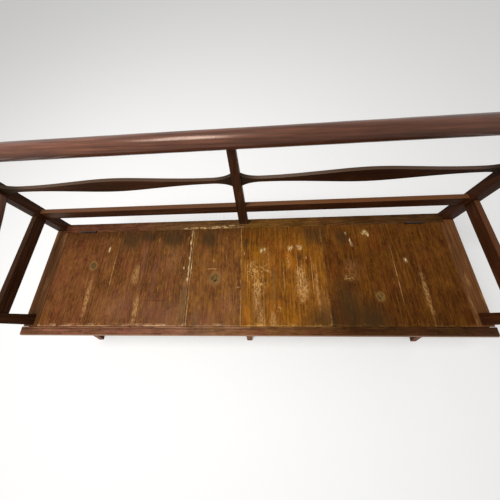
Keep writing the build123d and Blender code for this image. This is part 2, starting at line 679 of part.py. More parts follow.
def make_leaf(spans, side):
    """Leaf that hangs in the lid's edge (side -1) or in the rear rail (side 1), with its knuckles."""
    near = side * LID_REAR_GAP / 2
    far = near + side * HINGE_LEAF_THICKNESS
    y = (min(near, far), max(near, far))
    drop = -KNUCKLE_RADIUS - KNUCKLE_LIFT
    leaf = block((-HINGE_LENGTH / 2, HINGE_LENGTH / 2), y, (drop - HINGE_LEAF_WIDTH, drop))
    for low, high in spans:
        barrel = Rot(0, 90, 0) * Cylinder(KNUCKLE_RADIUS, high - low)
        leaf = leaf + block((low, high), y, (drop, -HINGE_PIN_RADIUS))
        leaf = leaf + Pos((low + high) / 2, 0, 0) * barrel
    return leaf - pin_cylinder(HINGE_PIN_RADIUS + PIN_CLEARANCE)


def hinge_screws(side):
    """Three screws through one leaf, into the wood behind it."""
    drop = SEAT_HEIGHT - HINGE_SCREW_DROP - PIVOT_Z
    screws = []
    for x in (-HINGE_SCREW_SPACING, 0, HINGE_SCREW_SPACING):
        turn = Rot(90 * side, 0, 0)
        place = Pos(x, side * LID_REAR_GAP / 2, drop)
        shape = screw(HINGE_SCREW_LENGTH, HINGE_SCREW_SHANK, HINGE_SCREW_HEAD, HINGE_LEAF_THICKNESS)
        screws.append(place * turn * shape)
    return screws


def at_hinges(shapes):
    """Copies of hinge pieces at both hinges."""
    placed = []
    for x in (-HINGE_X, HINGE_X):
        placed += [Pos(x, PIVOT_Y, PIVOT_Z) * s for s in shapes]
    return placed


def make_hinges():
    third = HINGE_LENGTH / 3
    outer = [(-HINGE_LENGTH / 2, -third / 2 - KNUCKLE_GAP), (third / 2 + KNUCKLE_GAP, HINGE_LENGTH / 2)]
    inner = [(-third / 2, third / 2)]
    rail_screws = hinge_screws(1)
    lid_screws = hinge_screws(-1)
    rail_leaf = cut_all(make_leaf(outer, 1), rail_screws)
    lid_leaf = cut_all(make_leaf(inner, -1), lid_screws)
    pin = pin_cylinder(HINGE_PIN_RADIUS)
    return [at_hinges(solids) for solids in ([rail_leaf], rail_screws, [lid_leaf], lid_screws, [pin])]


def leaf_mortise(side):
    """Pocket that a leaf lies in."""
    near = side * LID_REAR_GAP / 2
    far = near + side * HINGE_LEAF_THICKNESS
    drop = SEAT_HEIGHT - PIVOT_Z
    x = (-HINGE_LENGTH / 2, HINGE_LENGTH / 2)
    return block(x, (min(near, far), max(near, far)), (drop - HINGE_LEAF_WIDTH, drop + 1))


# ---- Assembly
def build_back():
    top_rail = make_top_rail()
    stile = make_stile(top_rail)
    post = make_rear_post(top_rail)
    uprights = [stile, post]
    lower_centre = LOWER_RAIL_BOTTOM + LOWER_RAIL_HEIGHT / 2
    lower_tenons = back_tenons(lower_centre)
    middle_tenons = back_tenons(MIDDLE_RAIL_CENTRE)
    lower = make_lower_rail(uprights)
    middle = make_middle_rail(uprights)
    for tenon in lower_tenons:
        lower = lower + tenon
    for tenon in middle_tenons:
        middle = middle + tenon
    pegs = make_back_pegs()
    arm = make_arm(post)
    arm_post = make_arm_post(arm)
    arm_rail = make_arm_rail([arm_post, post])
    for tenon in arm_rail_tenons():
        arm_rail = arm_rail + tenon
    arm = arm - arm_post
    arm_post = arm_post - arm_rail
    post = cut_all(post, [arm, arm_rail, lower, middle] + pegs)
    stile = cut_all(stile, [lower, middle, mirrored(lower), mirrored(middle)] + pegs)
    top_rail = cut_all(top_rail, [stile, post, mirrored(post)])
    pieces["top_rail"] = top_rail
    pieces["centre_stile"] = stile
    add_pair("middle_rail", cut_all(middle, pegs))
    add_pair("lower_rail", cut_all(lower, pegs))
    add_pair("rear_post", post)
    add_pair("arm", arm)
    add_pair("arm_post", arm_post)
    add_pair("arm_lower_rail", arm_rail)
    pieces["back_frame_pegs"] = group(pegs)


def build_box():
    rear_leg, back_board = make_centre_rear_leg(make_back_board())
    slats, nails = make_fixed_slats()
    pieces["back_board"] = back_board
    pieces["centre_rear_leg"] = rear_leg
    add_pair("end_board", make_end_board())
    add_pair("seat_end_rail", make_seat_end_rail())
    add_pair("lid_cleat", make_lid_cleat())
    add_pair("runner", make_runner())
    add_pair("kicker", make_kicker())
    pieces["front_bearer"] = cut_all(make_front_bearer(), nails)
    pieces["rear_ledger"] = cut_all(make_rear_ledger(), nails)
    pieces["fixed_slats"] = group(slats)
    pieces["fixed_slat_nails"] = group(nails)


def build_pull_out():
    leg, tenon = make_front_leg()
    dowels = make_cap_dowels()
    slats, screws = make_sliding_slats()
    board = cut_all(make_front_board(), [tenon] + dowels)
    for side in (-1, 1):
        board = board - Pos(side * POST_X, 0, 0) * tenon
    pieces["front_board"] = board
    pieces["front_cap_rail"] = cut_all(make_cap_rail(), dowels)
    pieces["cap_rail_dowels"] = group(dowels)
    pieces["front_leg_centre"] = leg
    add_pair("front_leg", Pos(POST_X, 0, 0) * leg)
    add_pair("side_rail", make_side_rail())
    pieces["slide_batten"] = cut_all(make_slide_batten(), screws)
    pieces["sliding_slats"] = group(slats)
    pieces["slide_screws"] = group(screws)


def build_lid():
    edges = lid_board_edges()
    screws = make_lid_screws(edges)
    rail_leaves, rail_screws, lid_leaves, lid_screws, pins = make_hinges()
    board_tools = screws + lid_screws + at_hinges([leaf_mortise(-1)])
    for i, (low, high) in enumerate(zip(edges, edges[1:])):
        board = make_lid_board(low, high)
        near = [t for t in board_tools if t.bounding_box().max.X > low and t.bounding_box().min.X < high]
        pieces[f"lid_board_{i + 1}"] = cut_all(board, near)
    front, rear = make_lid_battens()
    pieces["lid_batten_front"] = cut_all(front, screws)
    pieces["lid_batten_rear"] = cut_all(rear, screws)
    pieces["lid_screws"] = group(screws)
    pieces["hinge_lid_leaves"] = group(lid_leaves)
    pieces["hinge_lid_screws"] = group(lid_screws)
    pieces["hinge_rail_leaves"] = group(rail_leaves)
    pieces["hinge_rail_screws"] = group(rail_screws)
    pieces["hinge_pins"] = group(pins)
    rail_tools = rail_screws + at_hinges([leaf_mortise(1)]) + [stile_foot_tenon()]
    pieces["rear_seat_rail"] = cut_all(make_rear_seat_rail(), rail_tools)


def export():
    """Move the bench over its origin and write one STEP file per piece."""
    os.makedirs("parts", exist_ok=True)
    whole = Compound([s for p in pieces.values() for s in p.solids()]).bounding_box()
    shift = Pos(-whole.center().X, -whole.center().Y, -whole.min.Z)
    for name, shape in pieces.items():
        export_step(shift * shape, f"parts/{name}.step")
    print("moved in Y by", -whole.center().Y, "size", whole.size)
    print("lid pivot at Y", PIVOT_Y - whole.center().Y, "Z", PIVOT_Z, "pull-out travel", PULL_TRAVEL)


build_back()
build_box()
build_pull_out()
build_lid()
export()
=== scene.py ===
# Pull-out bench bed in stained and painted pine. Lengths are in metres unless a comment says millimetres.
# X runs along the bench, +Y points to its back, and the floor is at Z = 0.
import json
import random
from math import cos, radians, sin

import bmesh
import bpy
from bpy.props import FloatProperty, FloatVectorProperty, PointerProperty
from mathutils import Matrix, Vector

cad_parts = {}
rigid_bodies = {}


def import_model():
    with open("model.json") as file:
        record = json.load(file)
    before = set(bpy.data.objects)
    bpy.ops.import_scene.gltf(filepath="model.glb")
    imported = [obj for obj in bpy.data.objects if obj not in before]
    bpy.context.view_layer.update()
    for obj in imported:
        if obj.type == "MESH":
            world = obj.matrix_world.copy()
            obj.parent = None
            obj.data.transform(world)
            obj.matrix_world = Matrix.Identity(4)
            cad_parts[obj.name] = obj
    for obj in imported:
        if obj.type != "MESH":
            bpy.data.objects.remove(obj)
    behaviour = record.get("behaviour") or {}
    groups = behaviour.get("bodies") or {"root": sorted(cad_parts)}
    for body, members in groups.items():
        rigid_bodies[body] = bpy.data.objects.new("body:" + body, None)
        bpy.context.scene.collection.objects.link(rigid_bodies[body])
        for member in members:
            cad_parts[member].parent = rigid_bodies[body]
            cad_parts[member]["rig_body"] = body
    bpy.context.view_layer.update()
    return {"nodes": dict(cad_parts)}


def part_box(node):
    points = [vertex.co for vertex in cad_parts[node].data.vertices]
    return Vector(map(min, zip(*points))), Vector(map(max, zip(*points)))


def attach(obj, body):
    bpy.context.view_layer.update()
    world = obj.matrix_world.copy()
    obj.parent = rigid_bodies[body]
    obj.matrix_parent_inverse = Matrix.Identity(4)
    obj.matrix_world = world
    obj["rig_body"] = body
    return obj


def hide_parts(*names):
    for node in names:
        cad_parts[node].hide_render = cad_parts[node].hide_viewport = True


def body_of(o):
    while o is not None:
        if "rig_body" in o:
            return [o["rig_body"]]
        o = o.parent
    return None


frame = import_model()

bl_info = {
    "name": "Pull-out bench bed",
    "version": (1, 0, 0),
    "blender": (4, 5, 0),
    "location": "3D View > Sidebar > Bench",
    "description": "Wood, worn paint and iron for a pull-out bench bed with a turn-up seat",
    "category": "Object",
}

NODES = frame["nodes"]
MM = 0.001

# ---- Stage, in metres, watts and degrees
FLOOR_SIZE = 24.0
FLOOR_GLOW = 0.21  # added for the eye alone, so that the floor comes out nearly white
AIR_LIGHT = 0.36  # strength of the white air around the bench
LAMP_SIZE = (1.1, 0.8)
LAMP_POWER = 82.0
LAMP_PLACE = (-0.95, -0.25, 3.4)
LAMP_AIM = (0.0, 0.05, 0.45)
CAMERA_PLACE = (0.0891, -0.2293, 1.3181)
CAMERA_TURN = (69.014, -10.163, -10.769)  # down from level, right of straight back and tilted left
FOCAL_SHARE = 0.41  # focal length over the width of the picture

# ---- Sizes of the grain and the wear
RING_WIDTH = 9.0  # millimetres between growth rings where the saw cut them slantwise
WIDE_RINGS = 13.0  # and on the broad seat boards
RING_SCALE = 0.314  # metres between the rings of a wave pattern whose scale is 1
RING_LEAN = (-0.03, 0.035)  # how far a seat board's rings lean, one way or the other
MARK_MARGIN = 80 * MM  # how far beyond a board's edge its marks may be centred
DIRT_LINE = 8.0 * MM  # dirt on the cap rail, from its rear edge
ARRIS_BAND = 2.2 * MM  # corners this near a board's edge belong to its arris
ARRIS_WEAR = (3.8, 3.8, 15.0)  # millimetres of wear in from a board's left, right and front
STRIP_ARRIS = 1.3 * MM  # radius on the edges of the strips around the seat

# ---- Places read from the frame
CAP_LOW, CAP_HIGH = (Vector(c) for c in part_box("front_cap_rail"))
STRIP_LOW, STRIP_HIGH = (Vector(c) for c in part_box("rear_seat_rail"))
ROUND_LOW, ROUND_HIGH = (Vector(c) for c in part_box("top_rail"))
SEAT_FRONT = CAP_LOW.y
SEAT_TOP = CAP_HIGH.z


def pair(name):
    """Names of a left piece and a right piece."""
    return name + "_left", name + "_right"


# ---- Pieces that share a finish: its name, the way of the grain, how light the stain is, how much painted shade
# darkens the right half as the light falls off that way, how far tops are painted in their lit or shaded
# tones and which tones at the left and right, and how much darker a rail is where it meets an upright
RIGHT_SHADE = (0.74, 0.62, 0.5, 1.0)
# The rubbed tone, which is also painted on tops as their lit tone
RUBBED_AND_TOP_LIGHT = ("#714C33", "#714C33")
FRAME_FINISHES = (
    ("straight_rails", "X", 1.05, RIGHT_SHADE, 0.6, ("#6F4A32", "#8A6040"), 0.0, pair("lower_rail")),
    ("shaped_rails", "X", 0.93, (0.46, 0.365, 0.28, 1.0), 0.8, ("#624D3D", "#87756A"), 0.75,
     pair("middle_rail")),
    ("box_sides", "X", 1.05, RIGHT_SHADE, 0.3, RUBBED_AND_TOP_LIGHT, 0.0, ("front_board", "back_board")),
    ("box_ends", "Y", 1.05, RIGHT_SHADE, 0.6, RUBBED_AND_TOP_LIGHT, 0.0, pair("arm_lower_rail") + pair("end_board")),
    ("uprights", "Z", 0.92, RIGHT_SHADE, 0.3, RUBBED_AND_TOP_LIGHT, 0.0,
     ("centre_stile", *pair("rear_post"), *pair("arm_post"), "centre_rear_leg", "front_leg_left",
      "front_leg_centre", "front_leg_right")),
)
BARE_GRAIN = {
    "X": ("front_bearer", "rear_ledger", "slide_batten", "lid_batten_front", "lid_batten_rear"),
    "Y": ("fixed_slats", "sliding_slats", *pair("runner"), *pair("kicker"), *pair("side_rail"),
          *pair("lid_cleat")),
    "Z": ("back_frame_pegs", "cap_rail_dowels"),
}
HINGE_LENGTH = 80 * MM
IRON_NODES = (
    "hinge_rail_leaves", "hinge_lid_leaves", "hinge_pins", "hinge_rail_screws", "hinge_lid_screws",
    "lid_screws", "slide_screws", "fixed_slat_nails")

# ---- Each seat board from left to right: the middle tone of its paint, how worn it is, how far its left,
# right and front arris are rubbed bare, how light its front and its rear are beside its middle, and how far
# it has worn to amber
BOARD_PAINT_AND_SHADE = (
    ("#693E1E", 0.6, (0.1, 0.05, 0.7), (1.05, 0.6), 0.45),
    ("#673E1C", 0.9, (0.05, 0.05, 0.9), (1.05, 0.6), 0.5),
    ("#653D1A", 1.1, (0.05, 0.7, 0.9), (1.08, 0.58), 0.55),
    ("#6F441B", 0.95, (0.6, 0.25, 0.75), (1.0, 0.6), 0.6),
    ("#7A4A0F", 0.9, (0.9, 0.1, 0.95), (0.97, 0.55), 0.9),
    ("#7B4A12", 0.8, (0.1, 0.35, 0.8), (0.95, 0.72), 0.9),
    # The two right-hand boards' darker tones are partly painted shade, as the light falls off towards the
    # right
    ("#5C340C", 0.4, (0.35, 0.05, 0.1), (0.62, 1.25), 0.7),
    ("#5A330D", 0.4, (0.05, 0.1, 0.1), (0.7, 1.2), 0.7),
)
ROUGH_JOINT = -239.0  # joint with broken edges, in millimetres right of the middle upright
SPLINTERS = 21  # breaks along it
SOUND_PART = 0.42  # share of them, from the front, that are shallow
SHALLOW = 0.3  # and how deep those are beside the rest

# ---- Tones along the strip behind the seat and along the cap rail, by metres right of the middle upright. Their
# darkening towards the right is partly painted shade, as the light falls off that way
STRIP_PAINT_AND_SHADE = (
    (-0.95, "#56311E"), (-0.5, "#5D3720"), (-0.35, "#5C3D1F"), (-0.02, "#5B3E1E"), (0.06, "#674518"),
    (0.3, "#5E3D18"), (0.5, "#4A2E12"), (0.95, "#462C14"))
CAP_STAIN_AND_SHADE = (
    (-0.95, "#6D452E"), (-0.45, "#784E36"), (-0.1, "#775034"), (0.05, "#744A2A"), (0.25, "#633D1D"),
    (0.42, "#42250C"), (0.95, "#402612"))

AGED_SHINE = (1.0, 0.74, 0.6, 1.0)  # old varnish warms what it reflects
GOLDEN = (1.1, 1.1, 0.6, 1.0)  # what shifts the paint where it has worn to amber
RUDDY = (0.98, 0.83, 0.92, 1.0)  # and where it has gone red-brown

# ---- Marks in the seat's wood and paint, and flakes on the strip behind it: millimetres right of the middle
# upright and back from the nosing, half width and half length
KNOTS = ((-123, 234, 17, 19), (556, 150, 11, 12), (-700, 300, 13, 14))
PALE_CHIPS = (
    (84, 357, 6, 8), (96, 364, 4, 5), (206, 364, 5, 6), (216, 372, 4, 5), (256, 368, 5, 9), (245, 376, 4, 5),
    (464, 432, 4, 6), (481, 380, 5, 9), (476, 398, 2.5, 10), (546, 438, 6, 7), (557, 424, 5, 8),
    (536, 428, 4, 4), (-268, 282, 3, 5), (-246, 228, 4, 8), (-243, 446, 3, 12), (-247, 402, 2.5, 12),
    (-246, 330, 3, 6), (-245, 276, 2.5, 22), (-233, 286, 1.6, 30), (-640, 380, 4, 12), (690, 300, 5, 9))
RUBBED_PATCHES = (
    (251, 174, 20, 37), (247, 244, 18, 32), (262, 205, 12, 30), (60, 150, 14, 50), (78, 55, 12, 50),
    (-458, 104, 11, 54), (-486, 258, 13, 38), (312, 190, 5, 80), (-690, 150, 9, 80), (735, 160, 8, 90),
    (124, 60, 12, 30))
CURLED_PATCHES = (
    (88, 358, 12, 13), (211, 368, 13, 15), (250, 371, 12, 15), (546, 432, 14, 14), (46, 262, 24, 44),
    (98, 262, 22, 36), (70, 210, 30, 40), (250, 205, 22, 80), (30, 20, 30, 16), (150, 105, 8, 12),
    (470, 256, 14, 12), (446, 226, 18, 10), (200, 300, 10, 30))
SCRATCHES = (
    (86, 195, 1.7, 165), (20, 250, 1.1, 80), (50, 220, 1.3, 60), (66, 215, 1.2, 50), (296, 230, 1.2, 90),
    (236, 260, 1.2, 60), (-600, 260, 1.3, 100), (640, 240, 1.2, 110), (176, 230, 1.0, 60),
    (112, 330, 1.0, 50), (277, 318, 2.5, 9), (4, 345, 2.5, 7), (-20, 193, 6, 2.5), (-233, 100, 1.3, 85),
    (-132, 312, 4, 7), (-136, 276, 22, 2))
WARM_STREAKS = (
    (7, 250, 3.5, 44), (16, 90, 9, 26), (198, 330, 16, 14), (214, 300, 12, 30), (126, 92, 6, 12),
    (148, 124, 10, 16))
# Dark stains. The one 442 right and 414 back, at the rear of the seat, is a painted shadow.
DARK_STAINS_AND_SHADOW = (
    (-158, 422, 40, 42), (-334, 426, 52, 38), (60, 172, 10, 12), (430, 110, 44, 90), (505, 60, 60, 60),
    (325, 50, 60, 60), (250, 322, 12, 16), (-540, 420, 50, 40), (-460, 440, 40, 20), (320, 430, 50, 40),
    (442, 414, 24, 34), (14, 392, 10, 26))
HAZE = (
    (466, 276, 28, 26), (458, 236, 24, 18), (-60, 120, 34, 60), (-560, 90, 60, 50), (-300, 90, 40, 50),
    (60, 90, 24, 40), (330, 120, 14, 60), (-330, 330, 34, 60))
WORN_GREY = ((-1, 190, 5, 120), (-257, 130, 12, 95), (134, 205, 6, 60), (-196, 60, 14, 40))
MAUVE_PATCHES = (
    (-392, 78, 64, 62), (-330, 60, 44, 50), (-455, 330, 14, 90), (-400, 250, 11, 110), (-150, 52, 60, 36),
    (-520, 120, 50, 60))
CROSS_SCORES = ((-374, 140, 56, 1.2),)
STRIP_FLAKES = (
    (-98, 482, 76, 7), (-60, 483, 38, 6), (-150, 479, 30, 8), (-258, 477, 30, 8), (-226, 475, 12, 9),
    (-196, 477, 16, 8))


def seat_place(x, y):
    """Point on top of the seat, from millimetres right of the middle upright and back from the nosing."""
    return Vector((x * MM, SEAT_FRONT + y * MM, SEAT_TOP))


def colour(code):
    """Linear RGBA of an sRGB hex colour."""
    parts = [int(code[i:i + 2], 16) / 255 for i in (1, 3, 5)]
    return tuple(c / 12.92 if c <= 0.04045 else ((c + 0.055) / 1.055) ** 2.4 for c in parts) + (1.0,)


def grey(level):
    """Neutral colour of one level."""
    return (level, level, level, 1.0)


def scaled(shade, *levels):
    """Colour with each channel multiplied."""
    return tuple(c * k for c, k in zip(shade, levels)) + (1.0,)


# ---- Shader building
# What each kind of node is set to here, unless a call says otherwise
USUAL = {"Mix": {"data_type": "RGBA"}, "MapRange": {"interpolation_type": "SMOOTHSTEP"},
         "Math": {"operation": "MULTIPLY"}, "Mapping": {"vector_type": "TEXTURE"}}


def add_node(tree, kind, *inputs, out=0, named=None, stops=None, **settings):
    """Add a shader node with its settings, its live inputs in order or by name, and the stops of its ramp,
    and give one of its outputs, or all of them."""
    node = tree.nodes.new("ShaderNode" + kind)
    for name, value in {**USUAL.get(kind, {}), **settings}.items():
        setattr(node, name, value)
    live = [socket for socket in node.inputs if socket.enabled]
    by_name = [(node.inputs[name], value) for name, value in (named or {}).items()]
    for socket, value in list(zip(live, inputs)) + by_name:
        if isinstance(value, bpy.types.NodeSocket):
            tree.links.new(value, socket)
        else:
            socket.default_value = value
    if stops:
        elements = node.color_ramp.elements
        while len(elements) < len(stops):
            elements.new(1.0)
        for element, (position, shade) in zip(elements, stops):
            element.position = position
            element.color = shade
    if out is None:
        return node.outputs
    if isinstance(out, str):
        return node.outputs[out]
    return [socket for socket in node.outputs if socket.enabled][out]


def lumps(size):
    """Noise scale whose lumps are about this many millimetres across."""
    return 1 / (size * MM)


def seen_white(tree):
    """Mask of the rays by which the eye meets the backdrop, directly, in gloss or through glass."""
    path = add_node(tree, "LightPath", out=None)
    seen = add_node(tree, "Math", path["Is Camera Ray"], path["Is Glossy Ray"], operation="MAXIMUM")
    return add_node(tree, "Math", seen, path["Is Transmission Ray"], operation="MAXIMUM")


def new_finish(name):
    """Material with its tree, its shader and its object coordinates."""
    material = bpy.data.materials.new(name)
    material.use_nodes = True
    tree = material.node_tree
    place = add_node(tree, "TexCoord", out="Object")
    return material, tree, tree.nodes["Principled BSDF"], place


def along_grain(tree, place, grain, stretch, centre=(0, 0, 0), skew=0.0):
    """Coordinates about a centre, squeezed along the grain so that patterns run long."""
    turned = add_node(tree, "Mapping", place, centre, (skew, skew, skew))
    squeeze = [1 / stretch if axis == grain else 1.0 for axis in "XYZ"]
    return add_node(tree, "Mapping", turned, named={"Scale": squeeze}, vector_type="POINT")


def stirred(tree, place, grain, size, reach):
    """Coordinates pushed about, so that the outline of a mark comes out ragged."""
    space = along_grain(tree, place, grain, 2.5)
    push = add_node(tree, "TexNoise", space, lumps(size), 4.0, 0.65, out="Color")
    push = add_node(tree, "VectorMath", push, (0.5, 0.5, 0.5), operation="SUBTRACT")
    push = add_node(tree, "VectorMath", push, reach * MM, operation="SCALE")
    return add_node(tree, "VectorMath", place, push, operation="ADD")


def marks(tree, place, spots, soft):
    """Mask of the oval spots on the seat, 1 inside them and 0 outside, over an edge this soft."""
    total = None
    for x, y, half_width, half_length in spots:
        size = (half_width * MM, half_length * MM, 1.0)
        local = add_node(tree, "Mapping", place, seat_place(x, y), (0, 0, 0), size)
        reach = add_node(tree, "VectorMath", local, operation="LENGTH")
        spot = add_node(tree, "MapRange", reach, 1 - soft, 1 + soft, 1.0, 0.0)
        total = spot if total is None else add_node(tree, "Math", total, spot, operation="MAXIMUM")
    return total


def covered(tree, shade, over, *shares):
    """Lay one tone over a shade by the product of its shares."""
    share = shares[0]
    for other in shares[1:]:
        share = add_node(tree, "Math", share, other)
    return add_node(tree, "Mix", share, shade, over)


def veined(tree, shade, *layers):
    """Lay tones over a shade. Each one's share changes while its pattern goes from one level to another."""
    for pattern, low, high, start, end, over, *blend in layers:
        share = add_node(tree, "MapRange", pattern, low, high, start, end)
        shade = add_node(tree, "Mix", share, shade, over, blend_type=blend[0] if blend else "MIX")
    return shade


def growth_rings(tree, space, grain, width, *waves):
    """Growth rings this many millimetres apart, with their distortion, its detail and its scale."""
    return add_node(tree, "TexWave", space, RING_SCALE / (width * MM), *waves, out="Fac", wave_type="RINGS",
                    rings_direction=grain)


def surface(tree, shader, shade, roughness, height, strength, depth):
    """Give the shader its colour, its roughness and a relief this many millimetres deep."""
    bump = add_node(tree, "Bump", named={"Height": height, "Strength": strength, "Distance": depth * MM})
    for name, value in (("Base Color", shade), ("Roughness", roughness), ("Normal", bump)):
        tree.links.new(value, shader.inputs[name])


def wood(name, grain, middle, contrast=1.0, roughness=(0.42, 0.6), relief=0.25, shine=0.3,
         shine_tint=(1, 1, 1, 1), rub_and_highlight=None, rubbed=0.0, top_light=0.0, top_light_tones=None, darker_at_uprights=0.0, right_shade=None):
    """Planed softwood under its finish: broad tones, growth rings and fine fibres, with patches rubbed thin,
    tops painted in their lit or shaded tones with a painted highlight on the arris beside them, darker
    corners where a rail meets an upright, and a right half darkened as painted shade, where those are given."""
    dark = scaled(middle, *[0.5 ** contrast] * 3)
    light = scaled(middle, *[1.5 ** contrast] * 3)
    material, tree, shader, place = new_finish(name)
    broad_space = along_grain(tree, place, grain, 5.0)
    ring_space = along_grain(tree, place, grain, 14.0, (0.03, 0.19, -0.11), 0.02)
    rings = growth_rings(tree, ring_space, grain, RING_WIDTH, 6.0, 2.0, 0.35)
    streaks = add_node(tree, "TexNoise", along_grain(tree, place, grain, 22.0), lumps(9.0), 4.0, 0.55)
    # Fibres are drawn about five times as coarse as real ones, so that they still show across a room.
    fibres = add_node(tree, "TexNoise", along_grain(tree, place, grain, 30.0), lumps(3.6), 3.0, 0.6)
    broad = add_node(tree, "TexNoise", broad_space, lumps(60.0), 3.0, 0.55)
    tone = add_node(tree, "Mix", 0.45, streaks, broad, data_type="FLOAT")
    shade = add_node(tree, "ValToRGB", tone, stops=[(0.34, dark), (0.5, middle), (0.66, light)])
    shade = veined(tree, shade, (rings, 0.55, 1.0, 0.0, 0.35, dark),
                   (fibres, 0.5, 0.66, 0.0, 0.5, grey(0.4), "MULTIPLY"))
    across = add_node(tree, "SeparateXYZ", place, out="X")
    if rub_and_highlight:
        patches = add_node(tree, "TexNoise", broad_space, lumps(30.0), 5.0, 0.7)
        shade = veined(tree, shade, (patches, 0.55, 0.7, 0.0, rubbed, rub_and_highlight))
    if rub_and_highlight and top_light:
        # What faces up is painted in the tone it shows lit or shaded, changing from left to right, and the
        # arris beside it gets a painted highlight, partly rubbed wear.
        facing = add_node(tree, "SeparateXYZ", add_node(tree, "TexCoord", out="Normal"), out="Z")
        top = veined(tree, colour(top_light_tones[0]), (across, -0.15, 0.35, 0.0, 1.0, colour(top_light_tones[1])))
        shade = veined(tree, shade, (facing, 0.6, 0.95, 0.0, top_light, top))
        # Painted highlight on the arris, partly rubbed wear
        rising = add_node(tree, "MapRange", facing, 0.15, 0.4)
        levelling = add_node(tree, "MapRange", facing, 0.7, 0.95, 0.7, 0.0)
        shade = covered(tree, shade, scaled(rub_and_highlight, 2.0, 1.8, 1.6), rising, levelling)
    if darker_at_uprights:
        # Darker beside the middle upright and beside the posts.
        reach = add_node(tree, "Math", across, operation="ABSOLUTE")
        inner = add_node(tree, "MapRange", reach, 30 * MM, 95 * MM, darker_at_uprights, 0.0)
        outer = add_node(tree, "MapRange", reach, 790 * MM, 860 * MM, 0.0, darker_at_uprights)
        near_uprights = add_node(tree, "Math", inner, outer, operation="MAXIMUM")
        shade = covered(tree, shade, colour("#2B2419"), near_uprights)
    # Painted shade: the right half is darker, as the light falls off towards the right.
    if right_shade:
        shade = veined(tree, shade, (across, -0.05, 0.45, 0.0, 1.0, right_shade, "MULTIPLY"))
    gloss = add_node(tree, "MapRange", tone, 0.38, 0.62, roughness[1], roughness[0])
    height = add_node(tree, "Mix", 0.5, fibres, rings, data_type="FLOAT")
    surface(tree, shader, shade, gloss, height, 0.6, relief)
    shader.inputs["Specular IOR Level"].default_value = shine
    shader.inputs["Specular Tint"].default_value = shine_tint
    return material


def painted_wood(tree, place, grain, middle, centre, skew, amber):
    """Brown paint rubbed thin over pine: its colour, its fibres, its fine specks and its broad clouds."""
    dark = add_node(tree, "Mix", 1.0, middle, (0.52, 0.47, 0.4, 1.0), blend_type="MULTIPLY")
    light = add_node(tree, "Mix", 1.0, middle, (1.55, 1.65, 1.9, 1.0), blend_type="MULTIPLY")
    ring_space = along_grain(tree, place, grain, 9.0, centre, skew)
    rings = growth_rings(tree, ring_space, grain, WIDE_RINGS, 7.0, 3.0, 0.5)
    streaks = add_node(tree, "TexNoise", along_grain(tree, place, grain, 15.0), lumps(6.0), 5.0, 0.66)
    # Fibres and specks are about twice as coarse as real ones, so that they still show from above.
    fibres = add_node(tree, "TexNoise", along_grain(tree, place, grain, 18.0), lumps(3.8), 4.0, 0.66)
    broad_space = along_grain(tree, place, grain, 1.8, (0.4, 0.1, 0))
    broad = add_node(tree, "TexNoise", broad_space, lumps(50.0), 6.0, 0.66)
    hue_space = along_grain(tree, place, grain, 1.6, (0.9, 0.7, 0))
    hues = add_node(tree, "TexNoise", hue_space, lumps(48.0), 5.0, 0.62)
    specks = add_node(tree, "TexNoise", along_grain(tree, place, grain, 2.2), lumps(8.0), 5.0, 0.75)
    # Brush marks and early wood are drawn as lines about 6 mm apart, which is as fine as shows from above.
    lines = add_node(tree, "TexNoise", along_grain(tree, place, grain, 60.0, centre), lumps(6.0), 2.0, 0.5)
    tone = add_node(tree, "Mix", 0.5, streaks, broad, data_type="FLOAT")
    shade = veined(
        tree, dark,
        (tone, 0.41, 0.5, 0.0, 1.0, middle),
        (tone, 0.5, 0.6, 0.0, 1.0, light),
        (rings, 0.5, 1.0, 0.0, 0.25, dark),
        (fibres, 0.5, 0.64, 0.0, 0.55, grey(0.5), "MULTIPLY"),
        (lines, 0.52, 0.6, 0.0, 0.5 * amber, light),
        (specks, 0.53, 0.64, 0.0, 0.6, light),
        (specks, 0.36, 0.46, 0.45, 0.0, dark),
        (hues, 0.52, 0.62, 0.0, amber, GOLDEN, "MULTIPLY"),
        (hues, 0.38, 0.48, 0.9, 0.0, RUDDY, "MULTIPLY"))
    return shade, fibres, specks, broad


def finish_paint(tree, shader, shade, fibres, specks):
    """Dry, uneven sheen and the relief of old paint on open grain."""
    gloss = add_node(tree, "MapRange", specks, 0.35, 0.65, 0.46, 0.7)
    height = add_node(tree, "Mix", 0.4, fibres, specks, data_type="FLOAT")
    surface(tree, shader, shade, gloss, height, 0.7, 0.5)
    shader.inputs["Specular IOR Level"].default_value = 0.05


def worn_paint(name, low, high, middle, worn, bare, ends, amber):
    """Linseed-oil paint brushed on one planed pine board. Long use leaves it dull and brown, uneven from
    front to rear, streaked with amber and pale pine, chipped, and bare along its arrises."""
    material, tree, shader, place = new_finish(name)
    centre = ((low.x + high.x) / 2, 0.0, SEAT_TOP - 70 * MM)
    lean = RING_LEAN[round(low.x * 1000) % 2]
    axes = add_node(tree, "SeparateXYZ", place, out=None)
    length = add_node(tree, "MapRange", axes["Y"], low.y, high.y, interpolation_type="LINEAR")
    # Where the paint is darker it is also redder.
    front_light, rear_light = ((k, k ** 1.1, k ** 1.5, 1.0) for k in ends)
    stops = [(0.0, front_light), (0.35, grey(1.0)), (0.7, grey(1.0)), (1.0, rear_light)]
    along = add_node(tree, "ValToRGB", length, stops=stops)
    middle = add_node(tree, "Mix", 1.0, colour(middle), along, blend_type="MULTIPLY")
    shade, fibres, specks, broad = painted_wood(tree, place, "Y", middle, centre, lean, amber)
    shade = seat_marks(tree, place, shade, low, high, worn)
    shade = board_edges(tree, place, shade, low, high, bare, amber, broad)
    # The underside was never painted.
    pine = veined(tree, colour("#B08A5C"), (fibres, 0.4, 0.6, 0.0, 1.0, colour("#8A6640")),
                  (broad, 0.4, 0.62, 0.0, 1.0, colour("#9A7446")))
    shade = veined(tree, shade, (axes["Z"], low.z + 1.0 * MM, low.z + 3.0 * MM, 1.0, 0.0, pine))
    finish_paint(tree, shader, shade, fibres, specks)
    return material


